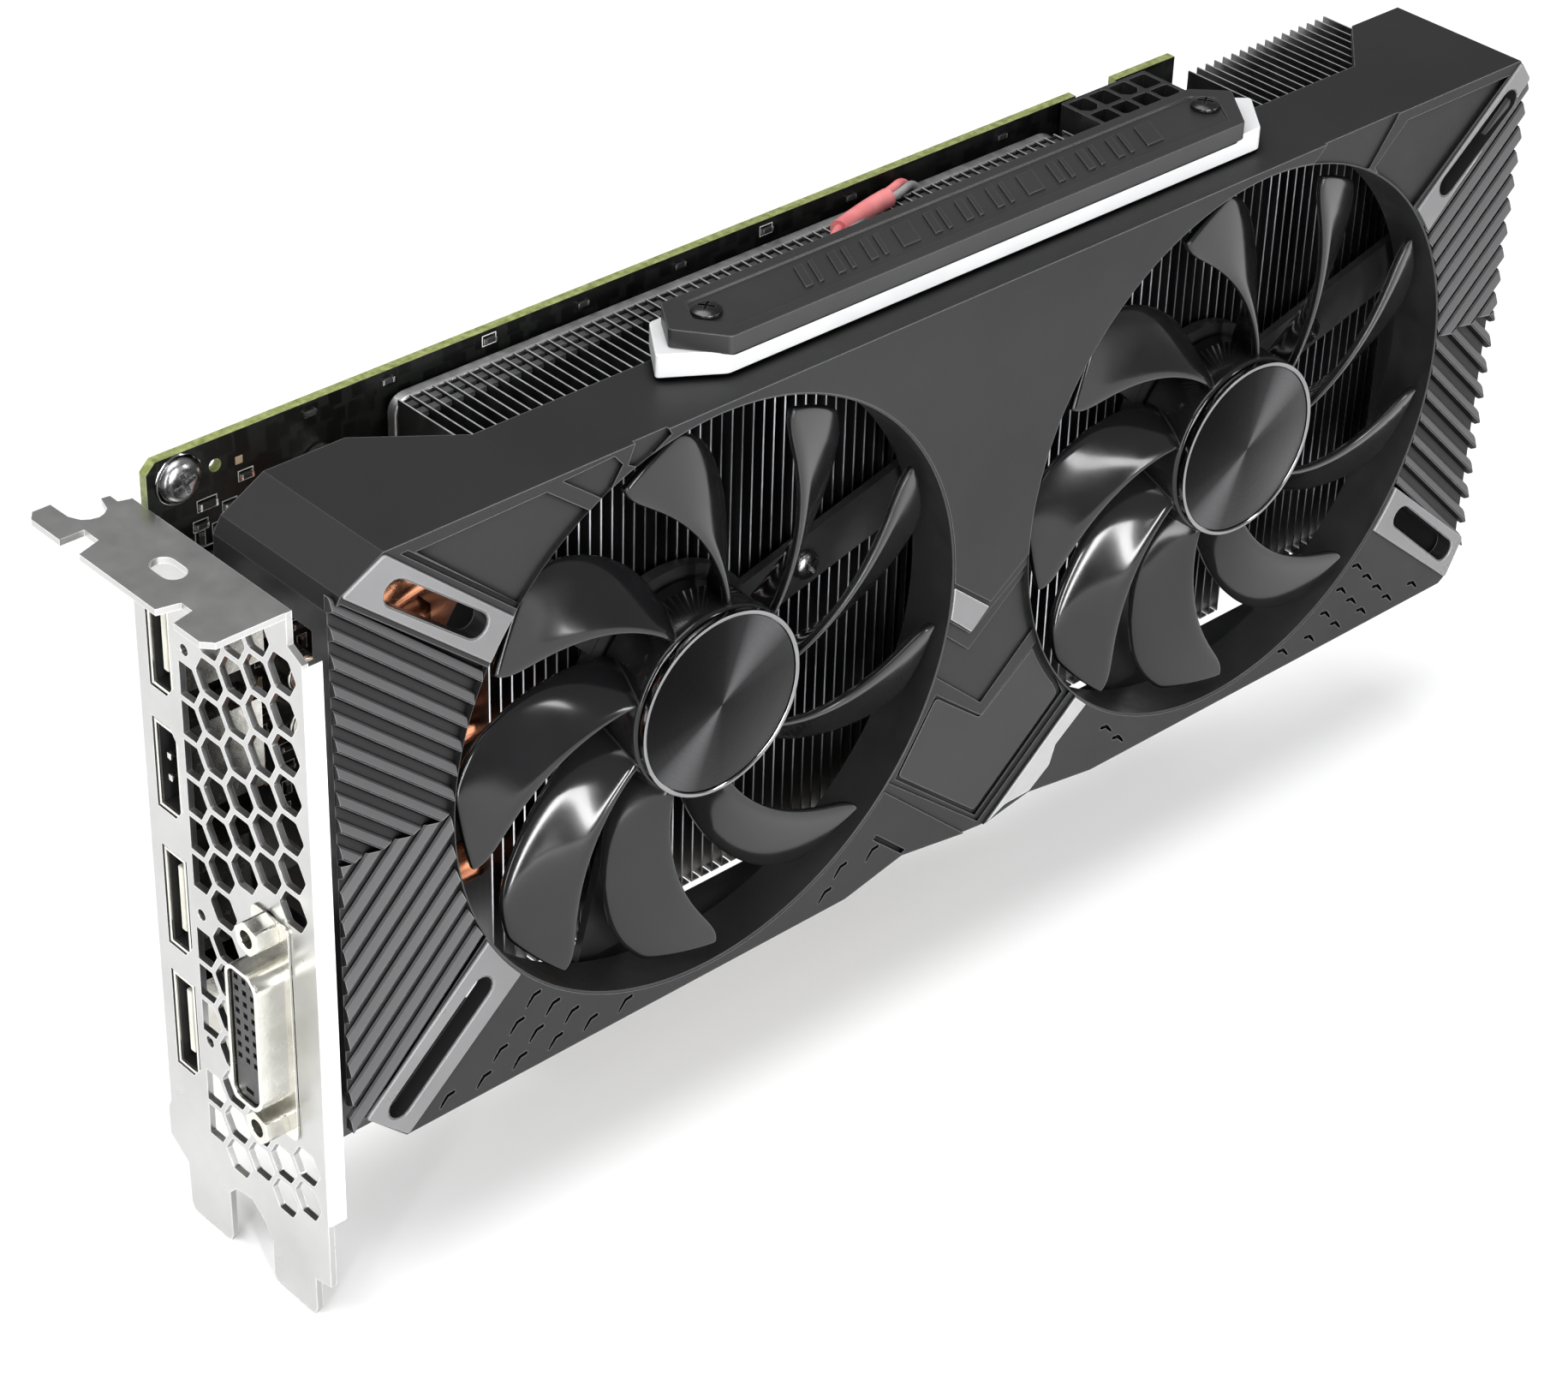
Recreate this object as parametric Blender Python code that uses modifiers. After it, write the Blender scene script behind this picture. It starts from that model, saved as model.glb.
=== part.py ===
"""Dual-slot graphics card with two axial fans, built as separate parts in one frame.

Sizes are written in millimetres and mm() turns them into metres. Origin: outer face of the
slot bracket (x = 0), mid-plane of the circuit board (y = 0), bottom of the contact edge
(z = 0). +X runs along the board away from the bracket, the fans look towards -Y, and +Z is
the edge with the power connector.
"""
import math

import bmesh
import bpy
from mathutils import Matrix, Vector

# driving dimensions, mm
BOARD_T = 1.57
BOARD_X0, BOARD_X1 = 2.2, 197.6
BOARD_TOP = 111.15
SHEET = 1.0
TAB_TOP = 106.0
FAN_X = (70.06, 179.37)
FAN_Z = 63.66
OPENING_R = 46.86
DUCT_R = 47.9
BLADE_TIP_R = 44.5
HUB_R = 15.0
BLADES = 9
FIRST_BLADE_DEG = 1.0
SWEEP_DEG = 35.0
ARM_DEG = (15.0, 135.0, 255.0)
FRONT_Y = -37.5
SHROUD_BACK_Y = -12.0
WALL = 1.7
FIN_PITCH = 2.0
FIN_T = 0.4
PIPE_R = 3.0
SHAFT_R = 1.5
RUNNING_GAP = 0.05
COOLER_SCREWS = ((87.5, 34.0), (87.5, 93.0), (146.5, 34.0), (146.5, 93.0))

# turns a flat outline's own plane so that it faces along the named axis
FACING = {
    "x": Matrix(((0, 0, 1), (1, 0, 0), (0, 1, 0))).to_4x4(),
    "y": Matrix(((1, 0, 0), (0, 0, -1), (0, 1, 0))).to_4x4(),
    "z": Matrix.Identity(4),
}


def mm(value):
    return value * 0.001


# ---------------------------------------------------------------- scene and materials

def clear_scene():
    for obj in list(bpy.data.objects):
        bpy.data.objects.remove(obj, do_unlink=True)


def new_collection(name):
    group = bpy.data.collections.new(name)
    bpy.context.scene.collection.children.link(group)
    return group


def material(name, colour, rough, metal):
    mat = bpy.data.materials.new(name)
    mat.use_nodes = True
    shader = mat.node_tree.nodes["Principled BSDF"]
    shader.inputs["Base Color"].default_value = (*colour, 1.0)
    shader.inputs["Roughness"].default_value = rough
    shader.inputs["Metallic"].default_value = metal
    mat.diffuse_color = (*colour, 1.0)
    return mat


# ---------------------------------------------------------------- shapes

def to_mesh(obj):
    """Swaps a curve, or a mesh with modifiers, for the plain mesh that it makes, with its ends closed."""
    bpy.context.view_layer.update()
    graph = bpy.context.evaluated_depsgraph_get()
    mesh = bpy.data.meshes.new_from_object(obj.evaluated_get(graph))
    name = obj.name
    matrix = obj.matrix_world.copy()
    group = obj.users_collection[0]
    bpy.data.objects.remove(obj, do_unlink=True)
    bm = bmesh.new()
    bm.from_mesh(mesh)
    bmesh.ops.remove_doubles(bm, verts=bm.verts, dist=1e-6)
    if any(edge.is_boundary for edge in bm.edges):
        bmesh.ops.holes_fill(bm, edges=bm.edges, sides=0)
    bmesh.ops.recalc_face_normals(bm, faces=bm.faces)
    bm.to_mesh(mesh)
    bm.free()
    solid = bpy.data.objects.new(name, mesh)
    mesh.name = name
    solid.matrix_world = matrix
    group.objects.link(solid)
    return solid


def paint(obj, mat):
    obj.data.materials.clear()
    if mat:
        obj.data.materials.append(mat)
    return obj


def flat(name, outlines, low, high, axis, group, mat=None):
    """Plate with the given outlines (pairs in mm), reaching between two values on an axis."""
    curve = bpy.data.curves.new(name, "CURVE")
    curve.dimensions = "2D"
    curve.fill_mode = "NONE"
    curve.extrude = mm(high - low) / 2
    for outline in outlines:
        spline = curve.splines.new("POLY")
        spline.points.add(len(outline) - 1)
        for point, (a, b) in zip(spline.points, outline):
            point.co = (mm(a), mm(b), 0.0, 1.0)
        spline.use_cyclic_u = True
    obj = bpy.data.objects.new(name, curve)
    middle = mm(low + high) / 2
    along = {"x": (middle, 0, 0), "y": (0, middle, 0), "z": (0, 0, middle)}[axis]
    obj.matrix_world = Matrix.Translation(along) @ FACING[axis]
    group.objects.link(obj)
    return paint(to_mesh(obj), mat)


def boxes(name, spans, group, mat=None):
    """Boxes from their low and high corners in mm, all in one object."""
    bm = bmesh.new()
    for low, high in spans:
        size = [mm(b - a) for a, b in zip(low, high)]
        middle = [mm(a + b) / 2 for a, b in zip(low, high)]
        place = Matrix.Translation(middle) @ Matrix.Diagonal((*size, 1.0))
        bmesh.ops.create_cube(bm, size=1.0, matrix=place)
    mesh = bpy.data.meshes.new(name)
    bm.to_mesh(mesh)
    bm.free()
    obj = bpy.data.objects.new(name, mesh)
    group.objects.link(obj)
    return paint(obj, mat)


def rods(name, spots, radius, low, high, axis, sides, group, mat=None):
    """Cylinders of one radius along an axis, at the given spots in the plane across it."""
    bm = bmesh.new()
    for spot in spots:
        a, b = spot
        centre = {"x": (mm(low + high) / 2, mm(a), mm(b)),
                  "y": (mm(a), mm(low + high) / 2, mm(b)),
                  "z": (mm(a), mm(b), mm(low + high) / 2)}[axis]
        bmesh.ops.create_cone(bm, cap_ends=True, segments=sides, radius1=mm(radius), radius2=mm(radius),
                              depth=mm(high - low), matrix=Matrix.Translation(centre) @ FACING[axis])
    mesh = bpy.data.meshes.new(name)
    bm.to_mesh(mesh)
    bm.free()
    obj = bpy.data.objects.new(name, mesh)
    group.objects.link(obj)
    return paint(obj, mat)


def turned(name, profile, centre, group, mat=None, steps=32):
    """Profile of (radius, y) pairs in mm turned about a line along Y through the centre (x, z)."""
    mesh = bpy.data.meshes.new(name)
    points = [(mm(r), 0.0, mm(-y)) for r, y in profile]
    mesh.from_pydata(points, [(i, i + 1) for i in range(len(points) - 1)], [])
    obj = bpy.data.objects.new(name, mesh)
    obj.matrix_world = Matrix.Translation((mm(centre[0]), 0, mm(centre[1]))) @ FACING["y"]
    group.objects.link(obj)
    screw = obj.modifiers.new("turn", "SCREW")
    screw.steps = steps
    screw.render_steps = steps
    screw.use_merge_vertices = True
    screw.merge_threshold = 0.00001
    solid = paint(to_mesh(obj), mat)
    return smooth(solid)


def bar(name, points, radius, group, mat=None):
    """Round bar along a line of points in mm, closed at both ends."""
    curve = bpy.data.curves.new(name, "CURVE")
    curve.dimensions = "3D"
    curve.bevel_depth = mm(radius)
    curve.bevel_resolution = 2
    curve.use_fill_caps = True
    spline = curve.splines.new("POLY")
    spline.points.add(len(points) - 1)
    for point, place in zip(spline.points, points):
        point.co = (mm(place[0]), mm(place[1]), mm(place[2]), 1.0)
    obj = bpy.data.objects.new(name, curve)
    group.objects.link(obj)
    solid = paint(to_mesh(obj), mat)
    return smooth(solid)


def rect(a0, b0, a1, b1):
    return [(a0, b0), (a1, b0), (a1, b1), (a0, b1)]


def ring(ca, cb, r, n, turn=0.0):
    step = 2 * math.pi / n
    return [(ca + r * math.cos(turn + i * step), cb + r * math.sin(turn + i * step)) for i in range(n)]


def obround(a0, b0, a1, b1, r, n=6):
    """Outline of a round-ended slot between two end centres."""
    along = math.atan2(b1 - b0, a1 - a0)
    points = []
    for ca, cb, start in ((a1, b1, along - math.pi / 2), (a0, b0, along + math.pi / 2)):
        for i in range(n + 1):
            t = start + math.pi * i / n
            points.append((ca + r * math.cos(t), cb + r * math.sin(t)))
    return points


def smooth(obj, angle=40.0):
    obj.data.shade_smooth()
    obj.data.set_sharp_from_angle(angle=math.radians(angle))
    return obj


def boolean(obj, other, operation):
    mod = obj.modifiers.new(operation.lower(), "BOOLEAN")
    mod.operation = operation
    mod.solver = "EXACT"
    mod.object = other
    bpy.context.view_layer.update()
    graph = bpy.context.evaluated_depsgraph_get()
    mesh = bpy.data.meshes.new_from_object(obj.evaluated_get(graph))
    obj.modifiers.clear()
    obj.data = mesh
    mesh.name = obj.name


def cut(obj, cutter):
    cutter.hide_render = True
    cutter.display_type = "WIRE"
    boolean(obj, cutter, "DIFFERENCE")


def fuse(obj, other):
    boolean(obj, other, "UNION")
    bpy.data.objects.remove(other, do_unlink=True)


def polar(centre, radius, degrees):
    t = math.radians(degrees)
    return (centre[0] + radius * math.cos(t), centre[1] + radius * math.sin(t))


# ---------------------------------------------------------------- board side

def circuit_board(group, cutters, mat):
    x0, x1, top = BOARD_X0, BOARD_X1, BOARD_TOP
    outline = [
        (x0, 10.5), (50.2, 10.5), (50.2, 0.9), (51.1, 0.0), (60.7, 0.0), (61.6, 0.9), (61.6, 9.2),
        (63.5, 9.2), (63.5, 0.9), (64.4, 0.0), (134.1, 0.0), (135.0, 0.9), (135.0, 7.2), (138.4, 7.2),
        (138.4, 2.4), (141.4, 2.4), (141.4, 10.5), (195.6, 10.5), (x1, 12.5), (x1, top), (184.2, top),
        (184.2, 108.3), (175.3, 108.3), (175.3, top), (x0 + 1.5, top), (x0, top - 1.5),
    ]
    board = flat("circuit_board", [outline], -BOARD_T / 2, BOARD_T / 2, "y", group, mat)
    cut(board, rods("screw_hole_cutter", ((7.1, 107.4), *COOLER_SCREWS), 1.6, -3, 3, "y", 12, cutters))
    cut(board, rods("tooling_hole_cutter", ((13.0, 107.2),), 1.0, -3, 3, "y", 12, cutters))
    return board


def slot_bracket(group, cutters, mat):
    """Folded sheet: the plate with its two tongues, the tab at the top and the lip at the front."""
    plate = flat("slot_bracket", [[
        (1.0, TAB_TOP), (1.0, 4.1), (1.7, 2.4), (1.7, -2.7), (-2.5, -5.6), (-2.74, -12.8),
        (-3.4, -14.0), (-12.3, -14.0), (-12.94, -12.8), (-12.94, -4.4), (-14.6, -2.6),
        (-18.4, -2.0), (-21.6, -4.4), (-23.06, -6.8), (-23.06, -12.8), (-23.7, -14.0),
        (-32.6, -14.0), (-33.26, -12.8), (-33.26, -6.9), (-36.9, -6.0), (-36.9, 99.5), (-33.9, 101.0),
        (-33.9, TAB_TOP),
    ]], 0.0, SHEET, "x", group, mat)
    tab = flat("tab", [[
        (0.6, -33.8), (0.6, 1.0), (-0.9, 1.5), (-0.9, 3.3), (-2.2, 3.5), (-3.0, 0.9),
        (-5.0, -0.2), (-7.2, 0.8), (-8.0, 2.5), (-8.1, 6.4), (-10.9, 6.4), (-12.0, 5.0),
        (-12.0, -1.5), (-8.2, -1.5), (-8.2, -4.8), (-12.0, -6.0), (-12.0, -22.8), (-8.6, -23.6),
        (-8.6, -26.0), (-12.0, -26.8), (-12.0, -32.3), (-10.6, -33.8),
    ]], TAB_TOP - SHEET, TAB_TOP, "z", group)
    fuse(plate, tab)
    fuse(plate, boxes("lip", [((0.4, -36.9, 5.0), (3.2, -35.9, 99.0))], group))
    windows = [(-7.2, 78.4, -1.6, 95.6), (-7.4, 58.2, -1.4, 73.2), (-7.4, 34.6, -1.6, 51.8),
               (-7.4, 12.8, -1.6, 30.0), (-31.4, 22.6, -22.4, 48.9)]
    spans = [((-2, y0, z0), (3, y1, z1)) for y0, z0, y1, z1 in windows]
    cut(plate, boxes("socket_window_cutter", spans, cutters))
    cut(plate, rods("jack_hole_cutter", ((-27.0, 52.2), (-27.0, 19.2)), 2.6, -2, 3, "x", 10, cutters))
    hexes = [ring(y, z, 3.15, 6) for y, z in vent_centres()]
    hexes += [[(-8.9, z - 2.73), (-11.9, z - 2.73), (-13.45, z), (-11.9, z + 2.73), (-8.9, z + 2.73)]
              for z in half_vent_heights()]
    hexes += [ring(-10.3, z, 0.9, 8) for z in (88.3, 44.4, 21.9)]
    cut(plate, flat("vent_cutter", hexes, -2, 3, "x", cutters))
    slot = obround(-5.2, -14.8, -5.2, -17.2, 1.8)
    cut(plate, flat("tab_slot_cutter", [slot], TAB_TOP - 4, TAB_TOP + 3, "z", cutters))
    return plate


def vent_centres():
    """Six-sided vents in four columns with thin webs, left out beside the wide socket and its nuts."""
    found = []
    for col in range(4):
        y = -15.85 - 5.5 * col
        top = 89.6 if col % 2 else 86.5
        for k in range(-2, 14):
            z = top - 6.35 * k
            corner = y < -31.0 and z > 97.0
            if z < 101.0 and not corner and not (16.0 < z < 57.0 and y < -17.5):
                found.append((y, z))
    return found


def half_vent_heights():
    """Half vents beside the video sockets. Small round holes take the place of three of them."""
    return [89.6 - 6.35 * k for k in range(1, 14) if k not in (7, 11)]


def socket_shell(name, y0, y1, z0, z1, depth, group, cutters, mat):
    """Metal socket housing: a box open towards the bracket and closed behind."""
    shell = boxes(name, [((0.15, y0, z0), (depth, y1, z1))], group, mat)
    hollow = [((-3, y0 + 0.45, z0 + 0.45), (depth - 2.0, y1 - 0.45, z1 - 0.45))]
    cut(shell, boxes(name + "_cutter", hollow, cutters))
    return shell


def video_sockets(group, cutters, metal, black):
    for number, z in enumerate((78.7, 34.9, 13.1), start=1):
        name = "display_port_%d" % number
        socket_shell(name + "_shell", -6.9, -1.9, z, z + 16.6, 15.0, group, cutters, metal)
        boxes(name + "_tongue", [((3.0, -4.6, z + 2.6), (12.7, -3.4, z + 13.8))], group, black)
    socket_shell("hdmi_port_shell", -7.1, -1.7, 58.5, 72.9, 14.0, group, cutters, metal)
    boxes("hdmi_port_tongue", [((3.0, -4.7, 60.6), (11.7, -3.7, 70.8))], group, black)


def wide_socket(group, cutters, metal, black):
    """The tall two-row socket of the second slot, with its jack nuts and the block behind it."""
    outline = [(-30.6, 25.6), (-29.0, 23.9), (-24.6, 23.9), (-23.4, 25.2), (-23.4, 46.2), (-24.6, 47.5),
               (-29.0, 47.5), (-30.6, 45.8)]
    hollow = [(-29.9, 26.0), (-28.7, 24.6), (-24.9, 24.6), (-24.1, 25.5), (-24.1, 45.9), (-24.9, 46.8),
              (-28.7, 46.8), (-29.9, 45.4)]
    shell = flat("dvi_port_shell", [outline], -5.6, 2.2, "x", group, metal)
    cut(shell, flat("dvi_shell_cutter", [hollow], -9, 5, "x", cutters))
    core = [(y + (0.25 if y < -27 else -0.25), z + (0.25 if z < 36 else -0.25)) for y, z in hollow]
    insert = flat("dvi_port_insert", [core], -5.0, 2.2, "x", group, black)
    pins = []
    for row in range(3):
        for col in range(8):
            y = -25.2 - row * 1.8
            z = 45.3 - col * 1.95
            pins.append(((-9, y - 0.45, z - 0.45), (-2.5, y + 0.45, z + 0.45)))
    pins.append(((-9, -27.9, 25.9), (-2.5, -26.1, 26.7)))
    cut(insert, boxes("dvi_pin_cutter", pins, cutters))
    block = [(2.5, -33.6), (14.5, -33.6), (14.5, -9.2), (16.4, -9.2), (16.4, -1.1), (15.3, -1.1),
             (15.3, -7.9), (11.5, -7.9), (11.5, -21.0), (2.5, -21.0)]
    flat("dvi_port_body", [block], 16.5, 55.0, "z", group, black)
    for number, z in ((1, 52.2), (2, 19.2)):
        rods("dvi_jack_nut_%d" % number, ((-27.0, z),), 2.75, -4.4, -0.15, "x", 6, group, metal)


def power_connector(group, cutters, mat):
    x0, x1, y0, y1 = 171.0, 189.6, -11.9, -1.6
    body = boxes("power_connector", [((x0, y0, 98.5), (x1, y1, 111.5))], group, mat)
    step_x = (x1 - x0 - 1.0) / 4
    step_y = (y1 - y0 - 1.0) / 2
    pockets = []
    for i in range(4):
        for j in range(2):
            low = (x0 + 1.0 + i * step_x, y0 + 1.0 + j * step_y, 100.5)
            pockets.append((low, (low[0] + step_x - 1.0, low[1] + step_y - 1.0, 114.0)))
    cut(body, boxes("power_pocket_cutter", pockets, cutters))
    return body


def board_parts(group, green, black, grey, ferrite):
    boxes("gpu_package", [((98.5, -2.3, 45.0), (135.5, -1.0, 82.0))], group, green)
    boxes("gpu_die", [((106.0, -3.1, 54.0), (128.0, -2.4, 73.0))], group, grey)
    chips = ((80.5, 66.0), (80.5, 50.0), (105.0, 28.0), (121.0, 28.0))
    for number, (x, z) in enumerate(chips, start=1):
        boxes("memory_chip_%d" % number, [((x, -2.2, z), (x + 14.0, -0.95, z + 12.0))], group, black)
    for number, z in enumerate((70.0, 58.0, 46.0), start=1):
        boxes("power_choke_%d" % number, [((165.0, -4.6, z), (175.0, -0.95, z + 9.0))], group, ferrite)


def board_screws(group, steel):
    head = [(0, -2.7), (2.5, -2.7), (3.3, -1.9), (3.3, -1.05), (0, -1.05)]
    turned("bracket_screw", head, (7.1, 107.4), group, steel, 20)
    sprung = [(0, 1.1), (3.2, 1.1), (3.2, 2.4), (2.3, 3.3), (0, 3.3)]
    for number, spot in enumerate(COOLER_SCREWS, start=1):
        turned("cooler_screw_%d" % number, sprung, spot, group, steel, 16)


# ---------------------------------------------------------------- cooler

def fin_comb(name, x0, x1, y_front, y_back, z0, z1, group, mat):
    """Row of thin upright fins joined by one spine along their back edge."""
    spine = 0.8
    count = int((x1 - x0 - FIN_T) / FIN_PITCH) + 1
    outline = [(x0, y_back)]
    for i in range(count):
        x = x0 + i * FIN_PITCH
        outline += [(x, y_front), (x + FIN_T, y_front)]
        if i < count - 1:
            outline += [(x + FIN_T, y_back - spine), (x + FIN_PITCH, y_back - spine)]
    outline.append((x0 + (count - 1) * FIN_PITCH + FIN_T, y_back))
    return flat(name, [outline], z0, z1, "z", group, mat)


def heatsink(group, cutters, fins, plate, copper):
    pipes = ((76.0, 92.0), (68.5, 64.0), (58.0, 40.0))
    main = fin_comb("fin_stack_main", 40.0, 195.0, -24.0, -5.2, 20.0, 109.2, group, fins)
    fin_comb("fin_stack_end", 198.6, 232.0, -22.0, -3.0, 22.0, 109.2, group, fins)
    pockets = [((38.0, -22.9, z - 3.7), (52.6, -15.5, z + 3.7)) for _, z in pipes]
    pockets.append(((169.5, -12.6, 97.0), (197.0, -3.0, 115.0)))
    pockets.append(((38.0, -11.3, 54.6), (152.3, -3.0, 79.4)))
    cut(main, boxes("fin_pocket_cutter", pockets, cutters))
    boxes("base_plate", [((40.0, -4.6, 86.0), (168.0, -2.6, 108.6))], group, plate)
    boxes("cold_plate", [((96.0, -4.6, 43.0), (138.0, -3.3, 84.0))], group, copper)
    for number, (z_low, z_high) in enumerate(pipes, start=1):
        heat_pipe(number, z_low, z_high, group, copper)


def heat_pipe(number, z_low, z_high, group, copper):
    """Pipe from over the chip out past the fins, round a bend, and back into them."""
    bend_x = 33.0 - 3.5 * (number - 1)
    y_low = -7.9
    y_high = -19.2
    points = [(150.0, y_low, z_low), (46.0, y_low, z_low)]
    steps = 8
    for i in range(steps + 1):
        t = math.pi * i / steps
        w = (1 - math.cos(t)) / 2
        points.append((bend_x - 6.0 * math.sin(t), y_low + (y_high - y_low) * w, z_low + (z_high - z_low) * w))
    points.append((51.5, y_high, z_high))
    return bar("heat_pipe_%d" % number, points, PIPE_R, group, copper)


def rib_grooves():
    """Slanted grooves at both ends; each upper one meets a lower one in a chevron."""
    found = []
    for edge, side in ((4.5, 1), (241.2, -1)):
        for start, slope, pitch, count, limit in ((103.6, -0.85, -4.3, 9, 66.4), (31.0, 1.0, 4.8, 8, 63.6)):
            for i in range(count):
                z = start + pitch * i
                run = min((limit - z) / slope, 27.0)
                x0 = edge + side * 1.2
                x1 = edge + side * (1.2 + run)
                found.append([(x0, z), (x1, z + slope * run), (x1, z + slope * run + 1.6), (x0, z + 1.6)])
    return found


def shroud(group, cutters, mat):
    outline = [
        (4.5, 28.0), (4.5, 105.4), (5.9, 107.7), (12.9, 111.6), (238.1, 111.9), (241.2, 108.1),
        (241.2, 22.0), (237.5, 15.6), (235.9, 14.8), (150.5, 14.8), (136.3, 17.0), (126.2, 15.2),
        (122.6, 15.6), (108.9, 17.8), (97.2, 15.2), (13.6, 15.0), (6.5, 21.8), (4.5, 26.6),
    ]
    inset = [
        (6.2, 28.0), (6.2, 104.8), (7.3, 106.5), (13.4, 109.9), (237.2, 110.2), (239.5, 107.5),
        (239.5, 22.5), (236.4, 17.0), (235.5, 16.5), (150.6, 16.5), (136.3, 18.7), (126.2, 16.9),
        (122.8, 17.3), (108.9, 19.5), (96.9, 16.9), (14.3, 16.7), (8.0, 22.7), (6.2, 27.0),
    ]
    fans = [(x, FAN_Z) for x in FAN_X]
    body = flat("cooler_shroud", [outline], FRONT_Y, SHROUD_BACK_Y, "y", group, mat)
    pocket = flat("shroud_pocket_cutter", [inset], FRONT_Y + WALL, SHROUD_BACK_Y + 4, "y", cutters)
    cut(pocket, rods("duct_keep_cutter", fans, DUCT_R, FRONT_Y - 1, -28.5, "y", 48, cutters))
    cut(body, pocket)
    cut(body, rods("fan_opening_cutter", fans, OPENING_R, FRONT_Y - 3, SHROUD_BACK_Y + 6, "y", 48, cutters))
    slots = [obround(14.4, 105.0, 27.2, 94.6, 2.0), obround(12.4, 21.0, 27.0, 34.2, 2.0),
             obround(236.0, 105.6, 223.0, 95.2, 2.0), obround(235.6, 21.8, 222.6, 33.6, 2.0)]
    cut(body, flat("corner_slot_cutter", slots, FRONT_Y - 3, FRONT_Y + 4, "y", cutters))
    cut(body, flat("rib_groove_cutter", rib_grooves(), FRONT_Y - 1, FRONT_Y + 0.7, "y", cutters))
    back = [(26.0, -9.0), (26.0, -11.9), (39.5, -22.0), (216.0, -22.0), (227.0, -11.9), (227.0, -9.0)]
    cut(body, flat("back_edge_cutter", [back], 5.0, 125.0, "z", cutters))
    cut(body, boxes("socket_block_cutter", [((-2.0, -34.4, 8.0), (16.0, -8.0, 57.0))], cutters))
    cut(body, boxes("side_opening_cutter", [((-2.0, -33.0, 56.0), (16.0, -8.0, 101.0))], cutters))
    return body


def badge(group, light, dark, steel):
    strip = [(67.0, -27.0), (72.4, -19.4), (182.6, -19.4), (188.6, -24.6), (182.2, -32.4), (75.6, -32.4)]
    bar_top = [(69.6, -26.6), (73.6, -20.4), (178.6, -20.4), (183.4, -25.0), (177.0, -33.6), (75.0, -33.6)]
    flat("light_strip", [strip], 112.2, 115.6, "z", group, light)
    flat("badge_bar", [bar_top], 115.9, 118.8, "z", group, dark)
    for number, x in ((1, 77.0), (2, 176.4)):
        rods("badge_screw_%d" % number, ((x, -26.0),), 2.3, 119.1, 119.7, "z", 16, group, steel)


# ---------------------------------------------------------------- fans

def blade(number, centre, group):
    """One swept blade: a grid bent onto the blade's surface, then given its thickness."""
    radii = [HUB_R - 0.8, 21.0, 28.0, 35.0, 41.0, BLADE_TIP_R]
    chord = [0.0, 0.33, 0.67, 1.0]
    bm = bmesh.new()
    bmesh.ops.create_grid(bm, x_segments=len(radii) - 1, y_segments=len(chord) - 1, size=1.0)
    for vert in bm.verts:
        i = round((vert.co.x + 1) / 2 * (len(radii) - 1))
        j = round((vert.co.y + 1) / 2 * (len(chord) - 1))
        r = radii[i]
        s = chord[j]
        if i == len(radii) - 1:
            s = min(max(s, 0.14), 0.86)
        t = (r - HUB_R) / (BLADE_TIP_R - HUB_R)
        front = FIRST_BLADE_DEG + 360.0 * number / BLADES + SWEEP_DEG * t
        width = 15.0 + 7.0 * math.sin(max(t, 0.0) * math.pi / 2)
        y_back = -28.3 - 4.2 * t
        y = y_back + (-37.0 - y_back) * s ** 0.8
        x, z = polar(centre, r, front - width * (1 - s))
        vert.co = Vector((mm(x), mm(y), mm(z)))
    mesh = bpy.data.meshes.new("blade")
    bm.to_mesh(mesh)
    bm.free()
    obj = bpy.data.objects.new("blade", mesh)
    group.objects.link(obj)
    shell = obj.modifiers.new("thickness", "SOLIDIFY")
    shell.thickness = mm(1.3)
    shell.offset = 0.0
    return to_mesh(obj)


def rotor(side, centre, group, mat):
    """Hub, open at the back round a boss for the shaft, with its ring of blades."""
    bore = SHAFT_R + 0.02
    hub = turned(side + "_rotor", [
        (0, -37.6), (14.4, -37.6), (HUB_R, -37.0), (HUB_R, -27.6), (13.6, -27.6), (13.6, -36.0),
        (2.6, -36.0), (2.6, -31.0), (bore, -31.0), (bore, -36.6), (0, -36.6)], centre, group, mat, 36)
    for number in range(BLADES):
        fuse(hub, blade(number, centre, group))
    return smooth(paint(hub, mat))


def motor_frame(side, centre, group, cutters, mat):
    """Fixed motor base with a bearing bore, held by three flat arms."""
    bore = SHAFT_R + RUNNING_GAP
    frame = turned(side + "_motor_frame", [
        (bore, -30.5), (4.0, -30.5), (4.0, -29.6), (12.8, -29.6), (12.8, -27.0), (16.5, -27.0),
        (16.5, -25.0), (bore, -25.0), (bore, -30.5)], centre, group, mat, 36)
    for degrees in ARM_DEG:
        arm = boxes("arm", [((14.6, -26.7, -4.2), (50.6, -25.3, 4.2))], group)
        turn = Matrix.Rotation(-math.radians(degrees), 4, "Y")
        arm.data.transform(Matrix.Translation((mm(centre[0]), 0, mm(centre[1]))) @ turn)
        fuse(frame, arm)
    spots = [polar(centre, 27.0, degrees) for degrees in ARM_DEG]
    cut(frame, rods(side + "_frame_hole_cutter", spots, 1.4, -30, -22, "y", 10, cutters))
    below = [((centre[0] - 70, -40, -10), (centre[0] + 70, -10, 18.4))]
    cut(frame, boxes(side + "_frame_trim_cutter", below, cutters))
    return smooth(paint(frame, mat))


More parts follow.
